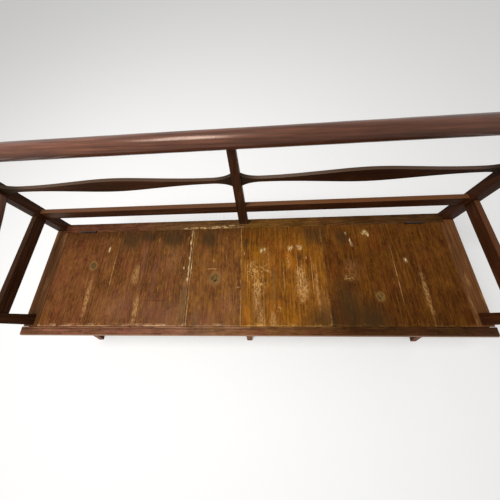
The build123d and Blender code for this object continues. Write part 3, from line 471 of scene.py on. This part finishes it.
def seat_marks(tree, place, shade, low, high, worn):
    """Lay over one board's paint its rubbing and the marks that fall on it."""
    def nearby(spots):
        """Marks that reach this board."""
        return [spot for spot in spots if low.x - MARK_MARGIN < spot[0] * MM < high.x + MARK_MARGIN]

    ragged = stirred(tree, place, "Y", 12.0, 26.0)
    crumbled = stirred(tree, place, "Y", 5.0, 11.0)
    flecks = add_node(tree, "TexNoise", along_grain(tree, place, "Y", 3.0), lumps(6.0), 5.0, 0.75)
    flecked = add_node(tree, "MapRange", flecks, 0.43, 0.55, 0.15, 1.0)
    # Paint lifts in curls where a broad pattern passes its middle level.
    curls = add_node(tree, "TexNoise", along_grain(tree, place, "Y", 1.8), lumps(20.0), 3.0, 0.5,
                     named={"Distortion": 1.2})
    curls = add_node(tree, "Math", curls, 0.5, operation="SUBTRACT")
    curls = add_node(tree, "Math", curls, operation="ABSOLUTE")
    curled = add_node(tree, "Math", add_node(tree, "MapRange", curls, 0.015, 0.06, 1.0, 0.0), flecked)
    rub_space = along_grain(tree, place, "Y", 9.0, (0.2, 0.3, 0))
    rubbing = add_node(tree, "TexNoise", rub_space, lumps(6.0), 5.0, 0.72)
    rubbed = add_node(tree, "MapRange", rubbing, 0.55, 0.68)
    shade = covered(tree, shade, colour("#BC803C"), rubbed, 0.45 * worn)
    # Each kind of mark, lowest first: its places, tone, strength and softness, and what shapes and breaks it
    layers = [
        (HAZE, "#93653E", 0.4, 0.9, ragged, flecked),
        # Dark stains, with one painted shadow at the rear of the seat
        (DARK_STAINS_AND_SHADOW, "#352714", 0.68, 0.8, ragged, 1.0),
        (WORN_GREY, "#6D573A", 0.5, 0.8, ragged, flecked),
        (MAUVE_PATCHES, "#6E4538", 0.5, 0.9, ragged, flecked),
        (WARM_STREAKS, "#A65C0C", 0.5, 0.7, ragged, 1.0),
        (RUBBED_PATCHES, "#C29259", 0.58, 0.6, ragged, flecked),
        (CURLED_PATCHES, "#D0A05C", 0.85, 0.6, ragged, curled),
        (SCRATCHES, "#CFA06A", 0.7, 0.6, place, flecked),
        (PALE_CHIPS, "#E0C492", 0.95, 0.75, crumbled, flecked),
        (CROSS_SCORES, "#3A2010", 0.8, 0.6, place, 1.0),
        ([(x, y, w * 1.5, l * 1.5) for x, y, w, l in KNOTS], "#94713E", 0.6, 0.5, crumbled, 1.0),
        (KNOTS, "#201E0E", 1.0, 0.4, crumbled, flecked),
        ([(x, y, w * 0.5, l * 0.45) for x, y, w, l in KNOTS], "#6B5C34", 0.6, 0.5, crumbled, flecked),
    ]
    for spots, over, strength, soft, space, broken in layers:
        if nearby(spots):
            mask = marks(tree, space, nearby(spots), soft)
            shade = covered(tree, shade, colour(over), mask, broken, strength)
    return shade


def board_edges(tree, place, shade, low, high, bare, amber, broad):
    """Rub one board's arrises bare, flake the rough joint, darken its joints and soil its rear."""
    axes = add_node(tree, "SeparateXYZ", place, out=None)
    sides = ((axes["X"], low.x), (high.x, axes["X"]), (axes["Y"], low.y), (high.y, axes["Y"]))
    left, right, front, back = (add_node(tree, "Math", *side, operation="SUBTRACT") for side in sides)
    patches = add_node(tree, "TexNoise", along_grain(tree, place, "Y", 2.0), lumps(14.0), 5.0, 0.7)
    patchy = add_node(tree, "MapRange", patches, 0.4, 0.58)
    clouds = add_node(tree, "TexNoise", along_grain(tree, place, "X", 3.0), lumps(13.0), 5.0, 0.7)
    cloudy = add_node(tree, "MapRange", clouds, 0.47, 0.6)
    arris = colour("#C2914E" if amber > 0.6 else "#C49A70")
    line = add_node(tree, "MapRange", front, 0.5 * MM, 5.0 * MM, 0.8 * bare[2], 0.0)
    shade = covered(tree, shade, arris, line, add_node(tree, "MapRange", broad, 0.3, 0.6, 0.2, 1.0))
    for edge, share, reach, mask in zip((left, right, front), bare, ARRIS_WEAR, (patchy, patchy, cloudy)):
        rubbed = add_node(tree, "MapRange", edge, 1.0 * MM, reach * MM, share, 0.0)
        shade = covered(tree, shade, arris, rubbed, mask)
    for edge, bound in ((left, low.x), (right, high.x)):
        rough = abs(bound - ROUGH_JOINT * MM) < 2 * MM
        if rough:
            rear = add_node(tree, "MapRange", axes["Y"], SEAT_FRONT + 170 * MM, SEAT_FRONT + 270 * MM,
                            0.15, 1.0)
            flakes = add_node(tree, "TexNoise", along_grain(tree, place, "Y", 7.0), lumps(5.0), 4.0, 0.7)
            flakes = add_node(tree, "MapRange", flakes, 0.43, 0.54)
            share, reach = (0.9, 10 * MM) if edge is right else (0.55, 6 * MM)
            flaked = add_node(tree, "MapRange", edge, 2 * MM, reach, share, 0.0)
            shade = covered(tree, shade, colour("#C8A06E"), flaked, flakes, rear)
        depth, reach = (0.9, 2.2 * MM) if rough else (0.35, 1.0 * MM)
        shade = veined(tree, shade, (edge, 0.2 * MM, reach, depth, 0.0, colour("#1C1108")))
    soiled = add_node(tree, "MapRange", back, 0.0, 60 * MM, 1.0, 0.0)
    clouded = add_node(tree, "MapRange", broad, 0.35, 0.6)
    return covered(tree, shade, colour("#33230F"), soiled, clouded, 0.3)


def long_paint(name, run, flakes, bare_edges, nosing=0.0):
    """Finish on a planed pine strip along the bench. Its tone changes from left to right, darker to the right
    partly as painted shade. It is rubbed pale along its edges and flaked to the wood where marks are given,
    and its nosing carries a painted highlight, partly rubbed wear. Each bare edge has its place, the way in
    from it, how bare it is and its reach in millimetres."""
    material, tree, shader, place = new_finish(name)
    axes = add_node(tree, "SeparateXYZ", place, out=None)
    level = add_node(tree, "MapRange", axes["X"], -1.0, 1.0, interpolation_type="LINEAR")
    middle = add_node(tree, "ValToRGB", level, stops=[((x + 1) / 2, colour(tone)) for x, tone in run])
    shade, fibres, specks, _ = painted_wood(tree, place, "X", middle, (0.1, 0.0, 0.3), 0.02, 0.3)
    if flakes:
        mask = marks(tree, stirred(tree, place, "X", 8.0, 10.0), flakes, 0.5)
        flecked = add_node(tree, "MapRange", specks, 0.45, 0.56)
        shade = covered(tree, shade, colour("#CFA872"), mask, flecked, 0.8)
    patches = add_node(tree, "TexNoise", along_grain(tree, place, "X", 3.0), lumps(14.0), 3.0, 0.55)
    patchy = add_node(tree, "MapRange", patches, 0.4, 0.6)
    worn = add_node(tree, "Mix", 1.0, middle, (2.1, 2.5, 2.8, 1.0), blend_type="MULTIPLY")
    for bound, direction, share, reach in bare_edges:
        edge = add_node(tree, "Math", axes["Y"], bound, operation="SUBTRACT")
        edge = add_node(tree, "Math", edge, direction)
        rubbed = add_node(tree, "MapRange", edge, 1.0 * MM, reach * MM, share, 0.0)
        shade = covered(tree, shade, worn, rubbed, patchy)
    if nosing:
        # A line of dirt lies along the joint with the boards.
        dirt = add_node(tree, "Math", CAP_HIGH.y - DIRT_LINE, axes["Y"], operation="SUBTRACT")
        dirt = add_node(tree, "Math", dirt, operation="ABSOLUTE")
        shade = veined(tree, shade, (dirt, 0.8 * MM, 2.4 * MM, 0.5, 0.0, colour("#2E1B0E")))
        # Painted highlight along the rounded lower nosing, partly rubbed wear
        outermost = add_node(tree, "MapRange", axes["Y"], SEAT_FRONT + 2 * MM, SEAT_FRONT + 6 * MM,
                             nosing, 0.0)
        rounded = add_node(tree, "MapRange", axes["Z"], SEAT_TOP - 12 * MM, SEAT_TOP - 9 * MM)
        nosing_highlight = add_node(tree, "Mix", 0.6, worn, colour("#BC9C88"))
        shade = covered(tree, shade, nosing_highlight, outermost, rounded)
    finish_paint(tree, shader, shade, fibres, specks)
    return material


def iron(name):
    """Forged iron gone black-brown: dull scale with a few rubbed spots and a little rust."""
    material, tree, shader, place = new_finish(name)
    scale = add_node(tree, "TexNoise", place, lumps(3.0), 5.0, 0.65)
    stops = [(0.35, colour("#1F1A17")), (0.52, colour("#3A322D")), (0.68, colour("#5B3A26"))]
    shade = add_node(tree, "ValToRGB", scale, stops=stops)
    surface(tree, shader, shade, add_node(tree, "MapRange", scale, 0.35, 0.65, 0.42, 0.75), scale, 0.5, 0.3)
    shader.inputs["Metallic"].default_value = 0.8
    return material


def dress(piece, material):
    """Give a piece or a carried-over node one finish."""
    piece.data.materials.clear()
    piece.data.materials.append(material)


# ---- Shaping, as at the bench
def deselect_all():
    """Put every piece down."""
    bpy.ops.object.select_all(action="DESELECT")


def take_up(piece):
    """Select one piece alone and make it the active one."""
    deselect_all()
    piece.select_set(True)
    bpy.context.view_layer.objects.active = piece


def edit(piece):
    """Open one piece alone for shaping, with all of it selected."""
    take_up(piece)
    bpy.ops.object.mode_set(mode="EDIT")
    bpy.ops.mesh.select_all(action="SELECT")


def pick(piece, kind, wanted):
    """Select only the edges or corners that pass a test."""
    bpy.ops.mesh.select_mode(type=kind)
    bpy.ops.mesh.select_all(action="DESELECT")
    shape = bmesh.from_edit_mesh(piece.data)
    for part in shape.edges if kind == "EDGE" else shape.verts:
        if wanted(part):
            part.select = True
    shape.select_flush_mode()
    bmesh.update_edit_mesh(piece.data)


def cut_across(axis, places):
    """Cut the open piece across one axis at each place."""
    normal = [1.0 if a == axis else 0.0 for a in "XYZ"]
    for place in places:
        bpy.ops.mesh.select_all(action="SELECT")
        bpy.ops.mesh.bisect(plane_co=[place * n for n in normal], plane_no=normal)


def steps(low, high, spacing):
    """Even places between two ends, about this far apart."""
    count = max(1, round((high - low) / spacing))
    return [low + (high - low) * i / count for i in range(1, count)]


def close_edit(smooth_below=35.0):
    """Leave edit mode and shade the softened edges smooth."""
    bpy.ops.object.mode_set(mode="OBJECT")
    bpy.ops.object.shade_smooth_by_angle(angle=radians(smooth_below))
    deselect_all()


def shape_by(piece, kind, **settings):
    """Put one modifier on a piece with its settings and apply it."""
    modifier = piece.modifiers.new(kind.lower(), kind)
    for name, value in settings.items():
        setattr(modifier, name, value)
    take_up(piece)
    bpy.ops.object.modifier_apply(modifier=modifier.name)
    deselect_all()


def plank(name, low, high):
    """Squared piece between two corners."""
    deselect_all()
    bpy.ops.mesh.primitive_cube_add(size=1.0, location=(low + high) / 2, scale=high - low)
    bpy.ops.object.transform_apply(location=True, rotation=True, scale=True)
    piece = bpy.context.active_object
    piece.name = name
    return piece


def stand_in(piece, node):
    """Let a modelled piece take the place of its node."""
    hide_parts(node)
    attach(piece, body_of(NODES[node])[0])


def eased(node, radius):
    """Node's own shape with its facets joined up and its arrises rounded over."""
    piece = bpy.data.objects.new("eased_" + node, NODES[node].data.copy())
    bpy.context.scene.collection.objects.link(piece)
    edit(piece)
    bpy.ops.mesh.customdata_custom_splitnormals_clear()
    bpy.ops.mesh.remove_doubles(threshold=1e-6)
    bpy.ops.mesh.dissolve_limited(angle_limit=radians(0.5))
    bpy.ops.mesh.select_mode(type="EDGE")
    bpy.ops.mesh.select_all(action="DESELECT")
    bpy.ops.mesh.edges_select_sharp(sharpness=radians(40))
    bpy.ops.mesh.bevel(offset=radius, segments=2, affect="EDGES", clamp_overlap=True)
    close_edit()
    shape_by(piece, "WEIGHTED_NORMAL", keep_sharp=True)
    stand_in(piece, node)
    return piece


def hollow(piece, group, depth):
    """Let shallow, uneven hollows into the corners of a group."""
    texture = bpy.data.textures.new(f"{piece.name}_wear", "CLOUDS")
    texture.noise_scale = 70 * MM
    shape_by(piece, "DISPLACE", texture=texture, direction="Z", strength=depth, mid_level=1.0,
             vertex_group=group.name)


def let_in_leaves(piece, node):
    """Cut the shallow pockets that hold the hinge leaves, where they meet this piece."""
    low, high = (Vector(c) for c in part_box(node))
    least, most = piece.bound_box[0][0], piece.bound_box[6][0]
    for side in (-1, 1):
        outer = high.x * side
        inner = outer - side * HINGE_LENGTH
        pocket_low = Vector((min(outer, inner) - 0.1 * MM, low.y - 0.1 * MM, low.z - 0.1 * MM))
        pocket_high = Vector((max(outer, inner) + 0.1 * MM, high.y + 0.1 * MM, high.z + MM))
        if pocket_high.x < least or pocket_low.x > most:
            continue
        cutter = plank("cutter", pocket_low, pocket_high)
        shape_by(piece, "BOOLEAN", operation="DIFFERENCE", object=cutter)
        bpy.data.objects.remove(cutter)


class BENCH_PG_sizes(bpy.types.PropertyGroup):
    """Sizes that a maker would change"""
    arris: FloatProperty(name="Arris", description="Radius worn on the arrises of the frame",
                         default=1.5 * MM, min=0.0, max=4 * MM, unit="LENGTH")
    board_arris: FloatProperty(name="Board arris", description="Radius worn on the seat boards' top edges",
                               default=0.9 * MM, min=0.0, max=4 * MM, unit="LENGTH")
    board_wear: FloatProperty(name="Board wear", description="Depth of the hollows worn in the seat boards",
                              default=1.2 * MM, min=0.0, max=3 * MM, unit="LENGTH")
    chip: FloatProperty(name="Chips", description="How far splinters are broken out of the rough joint",
                        default=3.0 * MM, min=0.0, max=6 * MM, unit="LENGTH")


class BENCH_PG_colours(bpy.types.PropertyGroup):
    """Colours that a maker would change"""
    varnish: FloatVectorProperty(name="Varnish", description="Middle tone of the round rails",
                                 subtype="COLOR", size=4, default=colour("#623C2D"))
    stain: FloatVectorProperty(name="Stain", description="Middle tone of the frame and box",
                               subtype="COLOR", size=4, default=colour("#4C2E1C"))
    pine: FloatVectorProperty(name="Pine", description="Middle tone of the bare slats and battens",
                              subtype="COLOR", size=4, default=colour("#A5825A"))


class BENCH_OT_stage(bpy.types.Operator):
    """Lay a pale floor, hang a soft lamp and set the camera above the seat"""
    bl_idname = "bench.stage"
    bl_label = "Stage"

    def execute(self, context):
        scene = context.scene
        deselect_all()
        bpy.ops.mesh.primitive_plane_add(size=FLOOR_SIZE, location=(0, 0, 0))
        floor = context.active_object
        floor.name = "studio_floor"
        # Rolled matt emulsion is even and off-white, has no gloss, and holds only the bench's soft shadow.
        material, tree, shader, _ = new_finish("rolled_matt_emulsion_floor")
        for name, value in (("Base Color", colour("#EEEDEB")), ("Roughness", 0.9),
                            ("Specular IOR Level", 0.0), ("Emission Color", grey(1.0))):
            shader.inputs[name].default_value = value
        glow = add_node(tree, "Math", seen_white(tree), FLOOR_GLOW)
        tree.links.new(glow, shader.inputs["Emission Strength"])
        dress(floor, material)
        world = bpy.data.worlds.new("studio_air")
        scene.world = world
        world.use_nodes = True
        tree = world.node_tree
        air = tree.nodes["Background"]
        air.inputs["Color"].default_value = grey(1.0)
        air.inputs["Strength"].default_value = AIR_LIGHT
        white = add_node(tree, "Background", grey(1.0), 1.0)
        mix = add_node(tree, "MixShader", seen_white(tree), air.outputs[0], white)
        tree.links.new(mix, tree.nodes["World Output"].inputs["Surface"])
        lamp = bpy.data.lights.new("softbox", "AREA")
        lamp.shape = "RECTANGLE"
        lamp.size, lamp.size_y = LAMP_SIZE
        lamp.energy = LAMP_POWER
        box = bpy.data.objects.new("softbox", lamp)
        scene.collection.objects.link(box)
        box.location = LAMP_PLACE
        aim = Vector(LAMP_AIM) - box.location
        box.rotation_euler = aim.to_track_quat("-Z", "Y").to_euler()
        self.add_camera(scene)
        scene.view_settings.view_transform = "Standard"
        return {"FINISHED"}

    def add_camera(self, scene):
        """Camera close above the seat, looking down and a little to the left of straight back."""
        pitch, yaw, roll = (radians(angle) for angle in CAMERA_TURN)
        forward = Vector((sin(yaw) * cos(pitch), cos(yaw) * cos(pitch), -sin(pitch)))
        level = Vector((cos(yaw), -sin(yaw), 0.0))
        upward = level.cross(forward)
        right = level * cos(roll) + upward * sin(roll)
        up = upward * cos(roll) - level * sin(roll)
        data = bpy.data.cameras.new("bench_camera")
        data.sensor_width = 36.0
        data.lens = FOCAL_SHARE * data.sensor_width
        data.clip_start = 0.01
        camera = bpy.data.objects.new("bench_camera", data)
        scene.collection.objects.link(camera)
        turn = Matrix((right, up, -forward)).transposed()
        camera.matrix_world = Matrix.Translation(CAMERA_PLACE) @ turn.to_4x4()
        scene.camera = camera


class BENCH_OT_round_rail(bpy.types.Operator):
    """Turn the round top rail: a spokeshaved pole with domed ends"""
    bl_idname = "bench.round_rail"
    bl_label = "Round top rail"

    def execute(self, context):
        end_round, facet, uneven = 20 * MM, 22 * MM, 0.5 * MM
        # A little thinner than its node, so that no facet stands out
        radius = (ROUND_HIGH.z - ROUND_LOW.z) / 2 - 0.3 * MM
        centre = (ROUND_LOW + ROUND_HIGH) / 2
        deselect_all()
        bpy.ops.mesh.primitive_cylinder_add(vertices=48, radius=radius, depth=ROUND_HIGH.x - ROUND_LOW.x,
                                            location=centre, rotation=(0, radians(90), 0))
        bpy.ops.object.transform_apply(location=True, rotation=True, scale=True)
        piece = context.active_object
        piece.name = "round_top_rail"
        edit(piece)
        pick(piece, "EDGE", lambda e: abs(e.verts[0].co.x - e.verts[1].co.x) < MM)
        bpy.ops.mesh.bevel(offset=end_round, segments=7, affect="EDGES")
        cut_across("X", steps(ROUND_LOW.x + 2 * end_round, ROUND_HIGH.x - 2 * end_round, facet))
        pick(piece, "VERT", lambda v: abs(v.co.x) < ROUND_HIGH.x - 2 * end_round)
        bpy.ops.transform.vertex_random(offset=uneven, uniform=0.0, normal=1.0, seed=5)
        bpy.ops.mesh.vertices_smooth(factor=0.5, repeat=2)
        close_edit(50)
        stand_in(piece, "top_rail")
        # Spokeshaved pine under old red-brown varnish. It has long facets of light, a warm soft gloss and
        # strong dark streaks where the varnish has sunk into the grain. Its right half is darker as painted
        # shade.
        varnish = tuple(context.scene.bench_colours.varnish)
        finish = wood("spokeshaved_pine_varnished_rail", "X", varnish, 1.35, roughness=(0.17, 0.34),
                      relief=0.4, shine=0.4, shine_tint=AGED_SHINE, right_shade=(0.72, 0.64, 0.58, 1.0))
        dress(piece, finish)
        return {"FINISHED"}


class BENCH_OT_arms(bpy.types.Operator):
    """Varnish the round arms"""
    bl_idname = "bench.arms"
    bl_label = "Arms"

    def execute(self, context):
        # Spokeshaved pine under the same varnish, worn more evenly by hands and so quieter in its grain.
        varnish = tuple(context.scene.bench_colours.varnish)
        finish = wood("spokeshaved_pine_varnished_arm", "Y", varnish, 0.7, roughness=(0.28, 0.44), shine=0.4,
                      shine_tint=AGED_SHINE)
        for name in pair("arm"):
            dress(NODES[name], finish)
        return {"FINISHED"}


class BENCH_OT_frame(bpy.types.Operator):
    """Ease and stain the back frame, the box and the legs"""
    bl_idname = "bench.frame"
    bl_label = "Frame, box and legs"

    def execute(self, context):
        radius = context.scene.bench_sizes.arris
        stain = tuple(context.scene.bench_colours.stain)
        # Planed pine, stained dark and waxed thin. It stays nearly matt and lets the grain through. Its tops
        # are painted in their lit or shaded tones, its arrises carry a painted highlight that is partly
        # rubbed wear, it is darker in its corners, and its right half is darker as painted shade.
        for finish_name, grain, light, right_shade, top_light, top_light_tones, darker_at_uprights, names in FRAME_FINISHES:
            middle = scaled(stain, *[light] * 3)
            finish = wood("planed_pine_stained_" + finish_name, grain, middle, shine=0.06,
                          rub_and_highlight=colour(RUBBED_AND_TOP_LIGHT[0]), rubbed=0.4, top_light=top_light, top_light_tones=top_light_tones, darker_at_uprights=darker_at_uprights, right_shade=right_shade)
            for name in names:
                dress(eased(name, radius), finish)
        return {"FINISHED"}


class BENCH_OT_seat_boards(bpy.types.Operator):
    """Lay the eight seat boards, worn hollow and broken along one joint"""
    bl_idname = "bench.seat_boards"
    bl_label = "Seat boards"

    def execute(self, context):
        for number, paint in enumerate(BOARD_PAINT_AND_SHADE, 1):
            self.lay_board(context.scene.bench_sizes, number, paint)
        return {"FINISHED"}

    def lay_board(self, sizes, number, paint):
        """Plane one board, wear it, cut its hinge pockets and paint it."""
        node = f"lid_board_{number}"
        low, high = (Vector(c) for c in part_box(node))
        piece = plank(f"seat_board_{number}", low, high)
        top = high.z
        edit(piece)
        pick(piece, "EDGE", lambda e: all(abs(v.co.z - top) < 1e-5 for v in e.verts))
        bpy.ops.mesh.bevel(offset=sizes.board_arris, segments=2, affect="EDGES")
        cut_across("Y", steps(low.y, high.y, 8 * MM))
        cut_across("X", steps(low.x, high.x, 12 * MM))

        def on_arris(v):
            """Corner of the top arris at a side or the front."""
            beside = min(v.co.x - low.x, high.x - v.co.x, v.co.y - low.y) < ARRIS_BAND
            return beside and v.co.z > top - ARRIS_BAND and low.y + MM < v.co.y < high.y - MM

        pick(piece, "VERT", on_arris)
        bpy.ops.transform.vertex_random(offset=0.45 * MM, uniform=0.0, normal=0.0, seed=number)
        self.break_joint(piece, low, high, sizes.chip)
        group = piece.vertex_groups.new(name="walked")
        bpy.ops.object.mode_set(mode="OBJECT")
        inner = [v.index for v in piece.data.vertices
                 if v.co.z > top - 0.2 * MM and low.x + ARRIS_BAND < v.co.x < high.x - ARRIS_BAND
                 and v.co.y < high.y - 14 * MM]
        group.add(inner, 1.0, "REPLACE")
        hollow(piece, group, sizes.board_wear)
        let_in_leaves(piece, "hinge_lid_leaves")
        take_up(piece)
        bpy.ops.object.shade_smooth_by_angle(angle=radians(40))
        stand_in(piece, node)
        dress(piece, worn_paint(f"planed_pine_oil_painted_{number}", low, high, *paint))

    def break_joint(self, piece, low, high, depth):
        """Splinter the top of the joint left of the middle, mostly in its rear half. No tool breaks a run of
        corners out by uneven bites, so they are moved one by one."""
        joint = ROUGH_JOINT * MM
        side = 1 if abs(low.x - joint) < 2 * MM else -1 if abs(high.x - joint) < 2 * MM else 0
        if not side:
            return
        draw = random.Random(17 + side)
        shape = bmesh.from_edit_mesh(piece.data)
        face = low.x if side > 0 else high.x
        splinters = [draw.random() ** 1.5 * (1.0 if i > SOUND_PART * SPLINTERS else SHALLOW)
                     for i in range(SPLINTERS + 1)]
        for vertex in shape.verts:
            if abs(vertex.co.x - face) > ARRIS_BAND or vertex.co.z < high.z - 2.5 * MM:
                continue
            place = (vertex.co.y - low.y) / (high.y - low.y)
            step = min(int(place * SPLINTERS), SPLINTERS - 1)
            part = place * SPLINTERS - step
            bite = splinters[step] * (1 - part) + splinters[step + 1] * part
            vertex.co.x += side * depth * bite
            vertex.co.z -= depth * 0.35 * bite
        bmesh.update_edit_mesh(piece.data)


class BENCH_OT_seat_frame(bpy.types.Operator):
    """Plane the strip behind the seat, the cap rail in front and the rails at its ends"""
    bl_idname = "bench.seat_frame"
    bl_label = "Cap rail and seat frame"

    def execute(self, context):
        self.cap_rail()
        self.rear_strip()
        # Planed pine brushed with the seat's brown oil paint, dull, and pale where the pine shows through
        finish = wood("planed_pine_oil_painted_end_rails", "Y", colour("#6C4424"), shine=0.05,
                      rub_and_highlight=colour("#B0824C"), rubbed=0.5)
        for name in pair("seat_end_rail"):
            dress(eased(name, STRIP_ARRIS), finish)
        return {"FINISHED"}

    def finish_top(self, piece, low, high, seed):
        """Leave the marks of a hand plane on the top of a strip, and close it."""
        cut_across("X", steps(low.x, high.x, 14 * MM))
        pick(piece, "VERT", lambda v: v.co.z > high.z - 2 * MM and abs(v.co.x) < high.x - MM)
        bpy.ops.transform.vertex_random(offset=0.4 * MM, uniform=0.0, normal=0.0, seed=seed)
        close_edit(40)

    def cap_rail(self):
        """Round the cap rail's nosing, ease its rear edge and stain it."""
        piece = plank("worn_cap_rail", CAP_LOW, CAP_HIGH)
        nosing = 10.0 * MM
        edit(piece)
        pick(piece, "EDGE", lambda e: all(v.co.y < CAP_LOW.y + MM for v in e.verts)
             and abs(e.verts[0].co.x - e.verts[1].co.x) > 0.5)
        bpy.ops.mesh.bevel(offset=nosing, segments=7, affect="EDGES")
        pick(piece, "EDGE", lambda e: all(v.co.y > CAP_HIGH.y - MM and v.co.z > CAP_HIGH.z - MM
                                          for v in e.verts))
        bpy.ops.mesh.bevel(offset=STRIP_ARRIS, segments=2, affect="EDGES")
        self.finish_top(piece, CAP_LOW, CAP_HIGH, 31)
        shape_by(piece, "WEIGHTED_NORMAL", keep_sharp=True)
        stand_in(piece, "front_cap_rail")
        edges = ((CAP_LOW.y, 1.0, 0.5, 5.0), (CAP_HIGH.y, -1.0, 0.45, 7.0))
        # Planed pine, stained red-brown, darker to the right partly as painted shade. Its nosing is almost
        # smooth, and the pale band along it is a painted highlight, partly rubbed by knees and bedding.
        dress(piece, long_paint("planed_pine_stained_cap_rail", CAP_STAIN_AND_SHADE, (), edges, 0.8))

    def rear_strip(self):
        """Ease the strip's top edges, cut its hinge pockets and paint it."""
        piece = plank("rear_strip", STRIP_LOW, STRIP_HIGH)
        edit(piece)
        pick(piece, "EDGE", lambda e: all(v.co.z > STRIP_HIGH.z - MM for v in e.verts))
        bpy.ops.mesh.bevel(offset=STRIP_ARRIS, segments=2, affect="EDGES")
        self.finish_top(piece, STRIP_LOW, STRIP_HIGH, 37)
        let_in_leaves(piece, "hinge_rail_leaves")
        shape_by(piece, "WEIGHTED_NORMAL", keep_sharp=True)
        stand_in(piece, "rear_seat_rail")
        edges = ((STRIP_LOW.y, 1.0, 0.4, 5.0), (STRIP_HIGH.y, -1.0, 0.2, 5.0))
        # Planed pine brushed with brown oil paint. Nobody sits here, so it is thick enough to flake off pale.
        dress(piece, long_paint("planed_pine_oil_painted_rear_strip", STRIP_PAINT_AND_SHADE, STRIP_FLAKES, edges))


class BENCH_OT_bed_deck(bpy.types.Operator):
    """Leave the slats, bearers, runners and battens as bare pine"""
    bl_idname = "bench.bed_deck"
    bl_label = "Bed deck and battens"

    def execute(self, context):
        # Sawn pine left bare. It is pale honey brown and dry, with no gloss, and its rings show plainly.
        pine = tuple(context.scene.bench_colours.pine)
        for grain, names in BARE_GRAIN.items():
            finish = wood("sawn_pine_bare_" + grain.lower(), grain, pine, 0.6, roughness=(0.6, 0.8))
            for name in names:
                dress(NODES[name], finish)
        return {"FINISHED"}


class BENCH_OT_ironwork(bpy.types.Operator):
    """Blacken the hinges, screws and nails"""
    bl_idname = "bench.ironwork"
    bl_label = "Ironwork"

    def execute(self, context):
        finish = iron("forged_iron_blackened")
        for name in IRON_NODES:
            dress(NODES[name], finish)
        return {"FINISHED"}


class BENCH_PT_tools(bpy.types.Panel):
    """Lists the pieces of the bench and its sizes and colours"""
    bl_idname = "BENCH_PT_tools"
    bl_label = "Pull-out bench bed"
    bl_space_type = "VIEW_3D"
    bl_region_type = "UI"
    bl_category = "Bench"

    def draw(self, context):
        for group in (context.scene.bench_sizes, context.scene.bench_colours):
            for name in group.__annotations__:
                self.layout.prop(group, name)
        for step in STEPS:
            self.layout.operator(step.bl_idname)


STEPS = (BENCH_OT_stage, BENCH_OT_round_rail, BENCH_OT_arms, BENCH_OT_frame, BENCH_OT_seat_boards,
         BENCH_OT_seat_frame, BENCH_OT_bed_deck, BENCH_OT_ironwork)
CLASSES = (BENCH_PG_sizes, BENCH_PG_colours) + STEPS + (BENCH_PT_tools,)


def register():
    for cls in CLASSES:
        bpy.utils.register_class(cls)
    bpy.types.Scene.bench_sizes = PointerProperty(type=BENCH_PG_sizes)
    bpy.types.Scene.bench_colours = PointerProperty(type=BENCH_PG_colours)


def unregister():
    del bpy.types.Scene.bench_sizes
    del bpy.types.Scene.bench_colours
    for cls in reversed(CLASSES):
        bpy.utils.unregister_class(cls)


def main():
    register()
    for step in STEPS:
        group, name = step.bl_idname.split(".")
        getattr(getattr(bpy.ops, group), name)()


if __name__ == "__main__":
    main()
